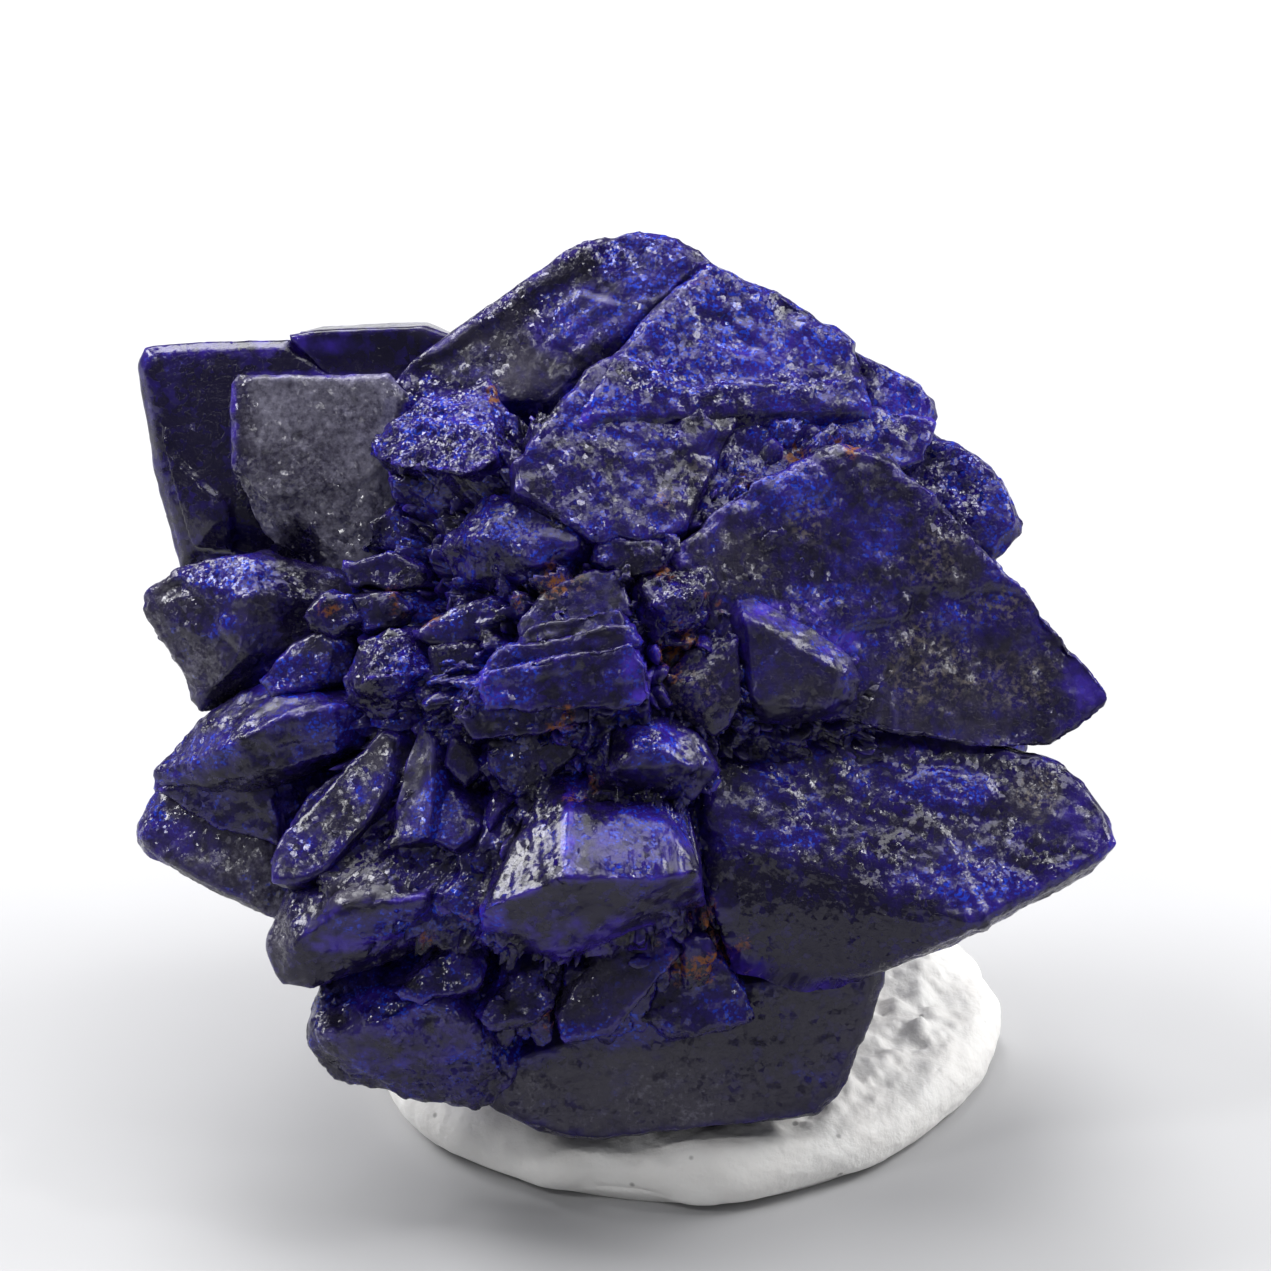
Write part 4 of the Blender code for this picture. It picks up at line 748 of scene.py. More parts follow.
def grains(at, size, seed):
    """Chunky grains: the cell of the nearest of one jittered seed point per cube, where distance is the
    largest of three coordinates turned a little for each seed. Returns the height of a pyramid on each
    grain, the height of a tilted flat top on it, and a random number for it, all 0 to 1."""
    scaled = at / size
    cell = np.floor(scaled).astype(np.int64)
    nearest = np.full(at.shape[:-1], np.inf, np.float32)
    chance = np.zeros(at.shape[:-1], np.float32)
    top = np.zeros(at.shape[:-1], np.float32)
    for step in np.ndindex(3, 3, 3):
        other = cell + np.array(step) - 1
        random = cell_random(other, seed)
        gap = (scaled - other - random).astype(np.float32)
        tilt = (random - 0.5) * GRAIN_TURN
        gap = gap + np.cross(tilt, gap)
        distance = np.abs(gap).max(axis=-1)
        closer = distance < nearest
        nearest = np.where(closer, distance, nearest)
        chance = np.where(closer, random[..., 2], chance)
        top = np.where(closer, random[..., 1] + (gap * tilt[..., ::-1]).sum(axis=-1) * TOP_TILT, top)
    return 1 - nearest.clip(0, 1), top, chance


# The surface of a convex crystal

def crystal_planes(points):
    """The outward normals and offsets of the faces of the convex solid round the points."""
    shape = bmesh.new()
    for point in points:
        shape.verts.new(point)
    bmesh.ops.convex_hull(shape, input=shape.verts)
    bmesh.ops.dissolve_limit(shape, angle_limit=FLAT_ANGLE, verts=shape.verts, edges=shape.edges)
    middle = points.mean(axis=0)
    rows = []
    for face in shape.faces:
        normal = np.array(face.normal)
        offset = normal @ np.array(face.calc_center_median())
        if offset < normal @ middle:
            normal, offset = -normal, -offset
        rows.append((*normal, offset))
    shape.free()
    planes = np.array(sorted(rows))
    return planes[:, :3], planes[:, 3]


def knots(low, high, fine_low, fine_high, step):
    """Places from low to high: a step apart between fine_low and fine_high, and coarser beyond them."""
    fine_low, fine_high = max(low, fine_low), min(high, fine_high)
    fine = np.linspace(fine_low, fine_high, max(FEWEST_ROWS, round((fine_high - fine_low) / step) + 1))
    ends = []
    for end, start in ((low, fine_low), (high, fine_high)):
        gap = abs(start - end)
        count = min(MOST_COARSE, round(gap / COARSE_STEP)) if gap > step else 0
        ends.append(np.linspace(end, start, max(1, count), endpoint=False) if gap > step else fine[:0])
    return np.concatenate((ends[0], fine, ends[1][::-1]))


def box_lattice(counts):
    """The points on the surface of a box of lattice points, with its quads facing out. The underside is
    left open, and its rim is returned in order, to be closed round one point."""
    surface = np.zeros(counts, bool)
    surface[[0, -1]] = True
    surface[:, [0, -1]] = True
    surface[:, :, -1] = True
    index = np.full(counts, -1)
    index[surface] = np.arange(surface.sum())
    quads = []
    for axis, end in ((0, 0), (0, -1), (1, 0), (1, -1), (2, -1)):
        grid = np.take(index, end, axis=axis)
        quad = np.stack((grid[:-1, :-1], grid[1:, :-1], grid[1:, 1:], grid[:-1, 1:]), axis=-1).reshape(-1, 4)
        faces_in = (end == 0) != (axis == 1)
        quads.append(quad[:, ::-1] if faces_in else quad)
    base = index[:, :, 0]
    rim = np.concatenate((base[:-1, 0], base[-1, :-1], base[:0:-1, -1], base[0, :0:-1]))
    return np.argwhere(surface), np.concatenate(quads), rim


def crystal_surface(points, middle, axes, step, fine_depth, broad=None):
    """A closed surface round a convex solid.

    Each lattice point p of a box round the solid gives a direction d from the middle. With n and h the
    faces' normals and distances, the surface point is middle + d / (sum over faces of
    max(0, n.d / h)^k)^(1/k), which follows the flat faces and rounds the edges between them. The mesh
    is fine round the broad places and to a depth under the front, and coarse down to the root.
    Returns places, quads, rim triangles, outward normals, edge nearness (0 on a face, 1 on an edge) and
    a number from 0 to 1 for the face that each point lies on.
    """
    normals, offsets = crystal_planes(points)
    reach = offsets - normals @ middle
    local = (points - middle) @ axes.T
    low, high = local.min(axis=0), local.max(axis=0)
    near = local if broad is None else (broad - middle) @ axes.T
    fine_low, fine_high = near.min(axis=0) - FINE_MARGIN, near.max(axis=0) + FINE_MARGIN
    fine_low[2], fine_high[2] = high[2] - fine_depth, high[2]
    places = [knots(low[axis], high[axis], fine_low[axis], fine_high[axis], step) for axis in range(3)]
    lattice, quads, rim = box_lattice([len(knot) for knot in places])
    box = np.stack([places[axis][lattice[:, axis]] for axis in range(3)], axis=-1)
    box = np.concatenate((box, [[0, 0, low[2]]]))  # the root's point, which closes the underside
    pole = len(lattice)
    closing = np.stack((np.roll(rim, -1), rim, np.full(len(rim), pole)), axis=-1)
    ray = box @ axes
    ratio = np.maximum(ray @ normals.T / reach, 0)
    largest = ratio.max(axis=1, keepdims=True)
    share = ratio / largest
    weight = share ** FACE_SHARPNESS
    blend = largest[:, 0] * weight.sum(axis=1) ** (1 / FACE_SHARPNESS)
    out = (weight / reach) @ normals
    out /= np.linalg.norm(out, axis=1, keepdims=True)
    nearness = share ** EDGE_REACH
    pull = (nearness[..., None] * normals).sum(axis=1) / nearness.sum(axis=1, keepdims=True)
    edge = (1 - np.linalg.norm(pull, axis=1)) * EDGE_GAIN
    facet = (ratio.argmax(axis=1) * GOLDEN_SHARE + normals[0, 0]) % 1
    return middle + ray / blend[:, None], quads, closing, out, edge.clip(0, 1), facet


# What lies on the faces: relief, rust and the masks that the finish reads

def skin_of(plate):
    """The skin that SKIN_OF gives the plate, or the plain one."""
    return SKINS[next((skin for skin, plates in SKIN_OF.items() if plate.name in plates), PLAIN_SKIN)]


def relief(at, axes, skin, edge, seed):
    """How far the skin stands over the flat faces, in millimetres, how hollow it is, 0 to 1, and a random
    number from 0 to 1 for the grain that each point lies on.

    The height is the sum of broad and middling noise, two sizes of chunky grains, growth ledges (a
    sawtooth of the place along the face, bent by the noise), grooves (noise stretched along the groove
    direction) and ragged edges, less chips on the edges. Points low on a grain, in a groove or between
    the knobs are hollow, the more so the deeper the skin.
    """
    local = at @ axes.T
    broad = noise(at, BROAD_SIZE, seed) + noise(at, MIDDLING_SIZE, seed + 1)
    knobs = noise(at, KNOB_SIZE, seed + 10)
    coarse, block, chance = grains(local, skin.grain, seed + 2)
    fine, chip, fine_chance = grains(local, skin.grain * FINE_GRAIN, seed + 3)
    turn = radians(skin.groove_turn)
    along = local[:, 0] * cos(turn) + local[:, 1] * sin(turn)
    across = local[:, 1] * cos(turn) - local[:, 0] * sin(turn)
    ledge = (across / LEDGE_PITCH + broad * LEDGE_BEND + local[:, 2] * LEDGE_LEAN) % 1
    stretched = np.column_stack((along, across, local[:, 2])) * GROOVE_STRETCH
    groove = noise(stretched, GROOVE_SIZE, seed + 4)
    chips = np.maximum(noise(at, CHIP_SIZE, seed + 5) + 0.1, 0) * edge
    height = skin.lumps * (0.5 * broad + 0.6 * knobs)
    height = height + skin.depth * ((coarse - GRAIN_LEVEL) * 0.7 + (block - 0.5) * 1.3)
    height = height + skin.depth * ((fine - GRAIN_LEVEL) * 0.5 + (chip - 0.5) * 0.6)
    height = height + skin.ledges * (ledge - LEDGE_LEVEL) + skin.grooves * groove
    height = height - chips * (LEAST_CHIP + skin.depth + skin.lumps)
    height = height + edge * (LEAST_RAGGED + 5 * skin.depth) * noise(at, RAGGED_SIZE, seed + 14)
    # The hollow number sets where the finish paints shade in recesses, and where rust gathers.
    low_grain = (0.62 - coarse) * 1.1 + (GRAIN_LEVEL - fine) * 0.5
    if skin.grooves > SHALLOW_GROOVE:
        low_grain = low_grain - groove * 0.25
    low_knobs = skin.lumps * KNOB_SHADE * (-knobs - 0.25).clip(0, 1)
    hollow = low_grain * min(MOST_GRAIN_SHADE, LEAST_GRAIN_SHADE + skin.depth * GRAIN_SHADE) + low_knobs
    return height, hollow.clip(0, 1), chance * 0.6 + fine_chance * 0.4


def inside_distance(at, corners):
    """How far inside a polygon each point lies (below zero outside): the distance to the nearest edge,
    signed by how many edges a line to the right crosses."""
    corners = np.array(corners)
    nearest = np.full(len(at), np.inf)
    inside = np.zeros(len(at), bool)
    for start, end in zip(corners, np.roll(corners, -1, axis=0)):
        edge = end - start
        share = ((at - start) @ edge / (edge @ edge)).clip(0, 1)
        nearest = np.minimum(nearest, np.linalg.norm(at - start - share[:, None] * edge, axis=1))
        crosses = (start[1] > at[:, 1]) != (end[1] > at[:, 1])
        rise = edge[1] if edge[1] else 1.0
        inside ^= crosses & (at[:, 0] < start[0] + edge[0] * (at[:, 1] - start[1]) / rise)
    return np.where(inside, nearest, -nearest)


def patch_height(name, show_places, seed):
    """The growth steps of one plate: each patch's height times a steep ramp at its ragged edge."""
    height = np.zeros(len(show_places))
    facing = show_places[:, 2] > PATCH_FRONT
    wander = sum(far * noise(show_places, size, seed + 7 + number)
                 for number, (far, size) in enumerate(PATCH_WANDER))
    for corners, rise in PATCHES.get(name, ()):
        depth = inside_distance(show_places[:, :2], corners) + wander
        height += rise * (0.5 + depth / PATCH_RAMP).clip(0, 1) * facing
    return height


def towards_front(show_places, start):
    """0 behind that place on the way forward from the heart, and 1 from FRONT_RAMP in front of it."""
    return ((show_places[:, 2] - start) / FRONT_RAMP).clip(0, 1)


def rust_mask(show_places, hollow):
    """Rust from 0 to 1: it fades out from each spot on the show side and gathers in the hollows."""
    rust = np.zeros(len(show_places))
    for place, spread, strength in RUST_SPOTS:
        distance = np.linalg.norm(show_places[:, :2] - place, axis=1)
        rust = np.maximum(rust, strength * (RUST_EDGE - distance / spread).clip(0, 1))
    patchy = (noise(show_places, RUST_PATCH, RUST_SEED) + 0.1 + 1.2 * hollow).clip(0, 1.2)
    return (rust * towards_front(show_places, RUST_FRONT) * patchy).clip(0, 1)


def zone_masks(show_places):
    """How strongly each kind of colour zone lies on each point: it fades out from the zone's middle, with
    a ragged outline."""
    facing = towards_front(show_places, ZONE_FRONT)
    ragged = 1 + 0.5 * noise(show_places, 0.5, ZONE_SEED) + 0.3 * noise(show_places, 0.2, ZONE_SEED + 1)
    masks = {}
    for kind, zones in ZONES.items():
        mask = np.zeros(len(show_places))
        for place, reach, strength in zones:
            distance = np.linalg.norm((show_places[:, :2] - place) / reach, axis=1)
            share = ((ZONE_EDGE - distance) * ZONE_STEEPNESS * ragged).clip(0, 1)
            mask = np.maximum(mask, strength * share)
        masks[kind] = mask * facing
    return masks


def dressed(surface, axes, skin, seed, depth_scale, name=""):
    """The crystal's surface with its skin on, and eight masks for each point: how thin, rusty, grey,
    hollow, blue, glinting, dusty and glossy it is, 0 to 1. Each comes from the skin, the colour zones,
    the face and grain that the point lies on, and broad noise; faces that look down get painted shade, as
    they lose grey and blue."""
    places, quads, closing, out, edge, facet = surface
    height, hollow, chance = relief(places, axes, skin, edge, seed)
    show_places = places @ SHOW_AXES.T
    zones = zone_masks(show_places)
    steps = patch_height(name, show_places, seed)
    places = places + out * ((height * (1 + 0.5 * zones["glint"])) * depth_scale + steps)[:, None]
    # Painted shade: faces that look down lose grey and blue, so they show darker; the dark zones do the same,
    # for deep crystal and partly for painted shade.
    under = ((-(out @ SHOW_AXES[1]) - UNDER_SHADE_FROM) * 2).clip(0, 1)
    grey = skin.grey + 0.35 * noise(places, GREY_DRIFT, seed + 6) + 0.3 * (facet - 0.5) + 0.6 * zones["grey"]
    grey = grey * (1 - zones["blue"]) * (1 - 0.9 * zones["dark"]) * (1 - 0.45 * under)
    blue = skin.blue + 0.4 * noise(places, BLUE_DRIFT, seed + 9)
    blue = blue - 0.3 * under + 0.3 * (chance - 0.5) + zones["blue"]
    blue = blue * (1 - zones["dark"]) * (1 - 0.6 * zones["grey"])
    gloss = skin.gloss + 0.5 * (facet - 0.5) + 0.3 * (chance - 0.5) + 0.4 * zones["glint"]
    # Thin edges and violet zones get the painted glow of lit edges.
    thin = np.maximum(edge, zones["violet"])
    masks = np.column_stack((thin, rust_mask(show_places, hollow), grey / MOST_GREY, hollow))
    sparkle = skin.sparkle * (1 + 1.4 * noise(places, SPARKLE_DRIFT, seed + 12)) + 0.7 * zones["glint"]
    tones = np.column_stack((blue, sparkle, zones["dust"], gloss))
    return places, quads, closing, np.column_stack((masks, tones)).clip(0, 1)


def plate_axes(plate):
    """The world directions of a plate's right, its up along the face, and its outward normal."""
    normal = unit(-plate.slope[0], -plate.slope[1], 1)
    right = unit(1, 0, plate.slope[0])
    return np.array((right, np.cross(normal, right), normal)) @ SHOW_AXES


def plate_surface(plate, step, seed, depth_scale):
    """A plate with its skin on."""
    axes = plate_axes(plate)
    middle = plate_outline(plate).mean(axis=0) @ SHOW_AXES - axes[2] * plate.thickness / 2
    broad = np.concatenate((plate_outline(plate), np.array(plate.peaks).reshape(-1, 3))) @ SHOW_AXES
    surface = crystal_surface(plate_points(plate), middle, axes, step, VISIBLE_SIDE, broad)
    return dressed(surface, axes, skin_of(plate), seed, depth_scale, plate.name)


def spoke_surface(spoke, skin, step, seed, depth_scale, fine_depth=None):
    """A spoke with its skin on. Its mesh is fine down to fine_depth from its tip, or over SPOKE_FINE of
    its reach."""
    out, side, flat = spoke_axes(spoke)
    axes = np.array((side, flat, out))
    middle = out * spoke.reach * SPOKE_MIDDLE
    surface = crystal_surface(spoke_points(spoke), middle, axes, step, fine_depth or spoke.reach * SPOKE_FINE)
    return dressed(surface, axes, skin, seed, depth_scale)


def spoke_surfaces(spokes, skins, step, seed, depth_scale, fine_depth=None):
    """Several spokes with their skins on. The skins are taken in turn, and so are the seeds."""
    return [spoke_surface(spoke, SKINS[skins[number % len(skins)]], step, seed + SEED_STEP * number,
                          depth_scale, fine_depth) for number, spoke in enumerate(spokes)]


def ray_reach(points, rays):
    """How far out along each ray from the heart the convex solid round the points ends, or 0 where the
    ray misses it. With n and h a face's normal and offset, the ray crosses the face at h / n.d; it is
    inside from its last way in (n.d below 0) to its first way out (n.d above 0)."""
    normals, offsets = crystal_planes(points)
    rate = rays @ normals.T
    rate = np.where(np.abs(rate) < LEVEL_RATE, LEVEL_RATE, rate)
    crossing = offsets / rate
    leaves = np.where(rate > 0, crossing, np.inf).min(axis=1)
    enters = np.where(rate < 0, crossing, 0).max(axis=1)
    return np.where(leaves > enters, leaves, 0)


def closed_over(heights, span):
    """Narrow valleys filled up to their lower brim: the highest value within span each way, and then
    the lowest of those within span."""
    for best in (np.maximum, np.minimum):
        for axis in (0, 1):
            spread = heights
            for shift in range(1, span + 1):
                for turn in (shift, -shift):
                    moved = np.roll(heights, turn, axis=axis)
                    spread = best(spread, moved)
            heights = spread
    return heights


class Clefts:
    """Where the show side's crystals leave clefts. For a grid of rays from the heart, even in angle, reach
    is how far out the crystals come, and full is how far they would if narrow clefts were filled. side
    holds the places of the rays along the grid, and face is the grid's distance from the heart. inner is 1
    where splinters may stand and filled is 1 where the middle is raised, and both fade to 0 at the rim."""

    def __init__(self):
        angles = np.linspace(-CLEFT_ANGLE, CLEFT_ANGLE, CLEFT_SIDE)
        self.side = np.tan(np.radians(angles)) / np.tan(np.radians(CLEFT_ANGLE))
        self.face = 1 / np.tan(np.radians(CLEFT_ANGLE))
        right, up = np.meshgrid(self.side, self.side, indexing="ij")
        rays = np.stack((right, up, np.full(right.shape, self.face)), axis=-1).reshape(-1, 3)
        self.rays = rays / np.linalg.norm(rays, axis=1, keepdims=True)
        world_rays = self.rays @ SHOW_AXES
        reach = np.max([ray_reach(plate_points(plate), world_rays) for plate in show_plates()], axis=0)
        self.reach = reach.reshape(CLEFT_SIDE, CLEFT_SIDE)
        self.full = closed_over(self.reach, CLEFT_SPAN)
        near_rim = np.maximum(np.abs(right), np.abs(up))
        self.inner, self.filled = (((start - near_rim) / ramp).clip(0, 1)
                                   for start, ramp in (CLEFT_INNER, CLEFT_FILLED))


def core_surface(clefts, depth_scale):
    """The intergrown middle: a ball whose radius rises and falls by a product of three sine waves, and
    which is raised on the show side until it nearly fills the clefts with broken blocks."""
    side = clefts.side
    upright = np.append(np.linspace(-1, clefts.face, CORE_ROWS, endpoint=False), clefts.face)
    lattice, quads, rim = box_lattice([len(side), len(side), len(upright)])
    box = np.column_stack((side[lattice[:, 0]], side[lattice[:, 1]], upright[lattice[:, 2]]))
    box = np.concatenate((box, [[0, 0, -1]]))
    along = box / np.linalg.norm(box, axis=1, keepdims=True)
    radius = CORE_RADIUS + CORE_LUMPS * np.sin(along * CORE_WAVES + CORE_PHASES).prod(axis=1)
    show = np.flatnonzero(lattice[:, 2] == len(upright) - 1)
    brim = clefts.full.ravel()
    near = along[show] * brim[:, None]
    blocks = grains(near, CLEFT_BLOCK_SIZE, CLEFT_BLOCK_SEED)[1] - 0.5
    chips = grains(near, CLEFT_CHIP_SIZE, CLEFT_CHIP_SEED)[1] - 0.5
    filled = brim - CLEFT_DEPTH + CLEFT_BLOCKS * (blocks + CLEFT_CHIP_SHARE * chips)
    rise = (np.minimum(filled, brim - CLEFT_BRIM) - radius[show]) * clefts.filled.ravel()
    radius[show] += np.maximum(rise, 0)
    places = along * radius[:, None] @ SHOW_AXES
    closing = np.stack((np.roll(rim, -1), rim, np.full(len(rim), len(lattice))), axis=-1)
    plain = np.zeros(len(places))
    surface = places, quads, closing, along @ SHOW_AXES, plain, plain + 0.5
    return dressed(surface, SHOW_AXES, SKINS["coarse"], CORE_SEED, depth_scale)


def splinter_spokes(clefts):
    """Short splinters that stand in the show side's clefts, nearly up to their brims, by a seeded
    draw."""
    draw = Random(SPLINTER_SEED)
    valleys = np.argwhere((clefts.full - clefts.reach > SPLINTER_ROOM) & (clefts.inner > 0.5))
    spokes = []
    for index in range(SPLINTER_COUNT):
        row, column = valleys[draw.randrange(len(valleys))]
        right, up, forward = clefts.rays[row * CLEFT_SIDE + column]
        around = degrees(atan2(up, right))
        away = -degrees(asin(forward))
        reach = clefts.full[row, column] - draw.uniform(*SPLINTER_DROP)
        width = draw.uniform(*SPLINTER_WIDTH)
        spokes.append(Spoke(f"splinter_{index}", around, away, draw.uniform(*HALF_TURN), reach, width,
                            width * draw.uniform(*SPLINTER_FLATNESS)))
    return spokes


def scatter_spokes():
    """Small stubby spokes all round the core, turned and sized by a seeded draw."""
    draw = Random(SCATTER_SEED)
    spokes = []
    for index in range(SCATTER_COUNT):
        # equal steps from the front to the back, and golden-angle steps around
        forward = 1 - 2 * (index + 0.5) / SCATTER_COUNT
        around = index * GOLDEN_ANGLE + draw.uniform(*SCATTER_AROUND)
        away = -90 + 180 * (0.5 - forward / 2) + draw.uniform(*SCATTER_AWAY)
        width = draw.uniform(*SCATTER_WIDTH)
        spokes.append(Spoke(f"stub_{index}", around, away, draw.uniform(*HALF_TURN),
                            draw.uniform(*SCATTER_REACH), width, width * draw.uniform(*SCATTER_FLATNESS)))
    return spokes


# Meshes

def new_piece(name, places, quads, triangles):
    """A mesh object whose own place is the origin, from places in metres."""
    mesh = bpy.data.meshes.new(name)
    corners = np.concatenate((quads.ravel(), triangles.ravel()))
    starts = np.concatenate((np.arange(len(quads)) * 4, len(quads) * 4 + np.arange(len(triangles)) * 3))
    mesh.vertices.add(len(places))
    mesh.vertices.foreach_set("co", places.astype(np.float32).ravel())
    mesh.loops.add(len(corners))
    mesh.loops.foreach_set("vertex_index", corners.astype(np.int32))
    mesh.polygons.add(len(starts))
    mesh.polygons.foreach_set("loop_start", starts.astype(np.int32))
    mesh.update(calc_edges=True)
    mesh.shade_smooth()
    piece = bpy.data.objects.new(name, mesh)
    bpy.context.scene.collection.objects.link(piece)
    return piece


def crystal_piece(name, surfaces):
    """One piece from several crystals' surfaces: their numbering is carried on from one to the next."""
    counts = np.cumsum([0] + [len(surface[0]) for surface in surfaces])
    places = np.concatenate([surface[0] for surface in surfaces])
    quads = np.concatenate([surface[1] + count for surface, count in zip(surfaces, counts)])
    closing = np.concatenate([surface[2] + count for surface, count in zip(surfaces, counts)])
    masks = np.concatenate([surface[3] for surface in surfaces])
    piece = new_piece(name, (places + HEART) * MM, quads, closing)
    for name_of_masks, part in ((MASKS, masks[:, :4]), (TONES, masks[:, 4:])):
        layer = piece.data.color_attributes.new(name_of_masks, "FLOAT_COLOR", "POINT")
        layer.data.foreach_set("color", part.astype(np.float32).ravel())
    piece.data.materials.append(azurite_material(bpy.context.scene.azurite))
    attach(piece, "root")
    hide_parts(CLUSTER)
    return piece


# Finishes

AZURITE = "azurite_crystal"
# The sizes of the patterns in the crystal, in millimetres
MOTTLE_SIZE = 0.5
SPECKLE_SIZE = 0.12
BIG_FACET = 0.125
SMALL_FACET = 0.052
GRIT_HEIGHT = 0.004
SPECK_SPACING = 0.9  # from one place where the putty may have a grey speck to the next


def feed(tree, socket, value):
    """Links an output socket to the input, or else sets the input's value; a colour is made opaque."""
    if isinstance(value, bpy.types.NodeSocket):
        tree.links.new(value, socket)
    elif socket.type == "RGBA":
        socket.default_value = (*value, 1)
    else:
        socket.default_value = value


def add_node(tree, kind, **inputs):
    """A shader node of that kind, with its inputs fed; they are named in lower case."""
    node = tree.nodes.new(kind)
    for name, value in inputs.items():
        socket = next(s for s in node.inputs if s.name.lower().replace(" ", "_") == name and s.enabled)
        feed(tree, socket, value)
    return node


def math(tree, operation, first, second=0.0, clamp=False):
    """One sum on two numbers or sockets."""
    node = tree.nodes.new("ShaderNodeMath")
    node.operation = operation
    node.use_clamp = clamp
    feed(tree, node.inputs[0], first)
    feed(tree, node.inputs[1], second)
    return node.outputs["Value"]


def vector_math(tree, operation, first, second):
    """One sum on two vectors or sockets."""
    node = tree.nodes.new("ShaderNodeVectorMath")
    node.operation = operation
    feed(tree, node.inputs[0], first)
    feed(tree, node.inputs[1], second)
    return node.outputs["Value" if operation == "DOT_PRODUCT" else "Vector"]


def blend_color(tree, share, first, second):
    """first where share is 0 and second where it is 1."""
    node = tree.nodes.new("ShaderNodeMix")
    node.data_type = "RGBA"
    feed(tree, node.inputs["Factor"], share)
    for socket, value in zip((socket for socket in node.inputs if socket.type == "RGBA"), (first, second)):
        feed(tree, socket, value)
    return next(socket for socket in node.outputs if socket.type == "RGBA")


def stirred(tree, base, texture, amount):
    """base + (texture - 0.5) * amount."""
    return math(tree, "ADD", base, math(tree, "MULTIPLY", math(tree, "SUBTRACT", texture, 0.5), amount))


def between(tree, value, low, high, to_low=0.0, to_high=1.0):
    """value from low to high, carried to to_low to to_high and held at the ends."""
    node = add_node(tree, "ShaderNodeMapRange", value=value, from_min=low, from_max=high, to_min=to_low,
                    to_max=to_high)
    return node.outputs["Result"]


def noise_of(tree, coords, size, detail=3.0, roughness=0.55):
    """Noise of that grain size in millimetres."""
    return add_node(tree, "ShaderNodeTexNoise", vector=coords, scale=1 / (size * MM), detail=detail,
                    roughness=roughness).outputs["Fac"]


def color_parts(tree, color):
    """The red, green and blue of a colour."""
    return add_node(tree, "ShaderNodeSeparateColor", color=color).outputs[:3]


def facet_cells(tree, coords, size):
    """Random cells of that size in millimetres: a number for each cell, and the height of a plane
    through it that is tilted its own way."""
    cells = add_node(tree, "ShaderNodeTexVoronoi", vector=coords, scale=1 / (size * MM))
    chance = vector_math(tree, "SUBTRACT", cells.outputs["Color"], (0.5, 0.5, 0.5))
    within = vector_math(tree, "SUBTRACT", coords, cells.outputs["Position"])
    return color_parts(tree, cells.outputs["Color"])[0], vector_math(tree, "DOT_PRODUCT", within, chance)


def new_material(name):
    """A material, its node tree, its shader, and the object's own coordinates."""
    material = bpy.data.materials.new(name)
    material.use_nodes = True
    tree = material.node_tree
    coords = tree.nodes.new("ShaderNodeTexCoord").outputs["Object"]
    return material, tree, tree.nodes["Principled BSDF"], coords


def attribute_parts(tree, name):
    """The four numbers of a colour attribute."""
    node = tree.nodes.new("ShaderNodeAttribute")
    node.attribute_name = name
    return *color_parts(tree, node.outputs["Color"]), node.outputs["Alpha"]


def azurite_color(tree, looks, masks, tones, noises, chances):
    """The crystal's colour, laid on from deep blue up: clear bright patches, grey dulled faces that are
    partly a painted sheen, a painted violet glow on thin lit edges, painted blue glints, the dust film,
    painted shade in the hollows and rust. Returns it with the film and the rust."""
    edge, rust, grey, hollow = masks
    blue, _, dust, _ = tones
    mottle, speckle = noises
    big_chance, small_chance = chances

    clear = stirred(tree, blue, mottle, 1.8)
    clear = stirred(tree, clear, big_chance, 0.5)
    clear = stirred(tree, clear, speckle, 0.6)
    color = blend_color(tree, between(tree, clear, 0.1, 1.0), looks.deep_color, looks.bright_color)

    # Grey: dulled faces, partly a painted sheen of faces turned to the light; the greyest turn pale, a
    # painted silvery sheen.
    grey = math(tree, "MULTIPLY", grey, MOST_GREY)
    dull_and_sheen = stirred(tree, stirred(tree, grey, speckle, 0.5), mottle, -0.8)
    dull_and_sheen = between(tree, dull_and_sheen, 0.25, 1.15, 0.0, 0.95)
    pale = between(tree, stirred(tree, grey, speckle, 1.6), 0.95, 1.55)
    dull_color = blend_color(tree, pale, looks.grey_color, looks.painted_pale_sheen_color)
    color = blend_color(tree, dull_and_sheen, color, dull_color)

    # Painted light: a patchy violet glow on thin, lit edges.
    lit_edge = math(tree, "MULTIPLY", edge, between(tree, mottle, 0.36, 0.60))
    lit_edge = math(tree, "MULTIPLY", edge, lit_edge)
    color = blend_color(tree, lit_edge, color, looks.painted_edge_glow_color)
    # Painted glints: some tiny cells of clear crystal are painted bright blue.
    painted_spark = between(tree, small_chance, 0.66, 0.86)
    painted_spark = math(tree, "MULTIPLY", painted_spark, between(tree, clear, 0.60, 1.2))
    color = blend_color(tree, painted_spark, color, looks.painted_spark_color)

    film = math(tree, "MULTIPLY", dust, between(tree, speckle, 0.5, 0.65), clamp=True)
    color = blend_color(tree, film, color, looks.dust_color)
    # Painted shade: hollow points are darkened towards the colour of shade deep in the hollows.
    shade = between(tree, hollow, 0.1, 0.7, 0.0, 0.85)
    color = blend_color(tree, shade, color, looks.painted_hollow_shade_color)
    stain = math(tree, "MULTIPLY", rust, between(tree, speckle, 0.42, 0.6, 0.0, 1.6))
    stain = between(tree, stain, 0.15, 0.6)
    return blend_color(tree, stain, color, looks.rust_color), film, stain


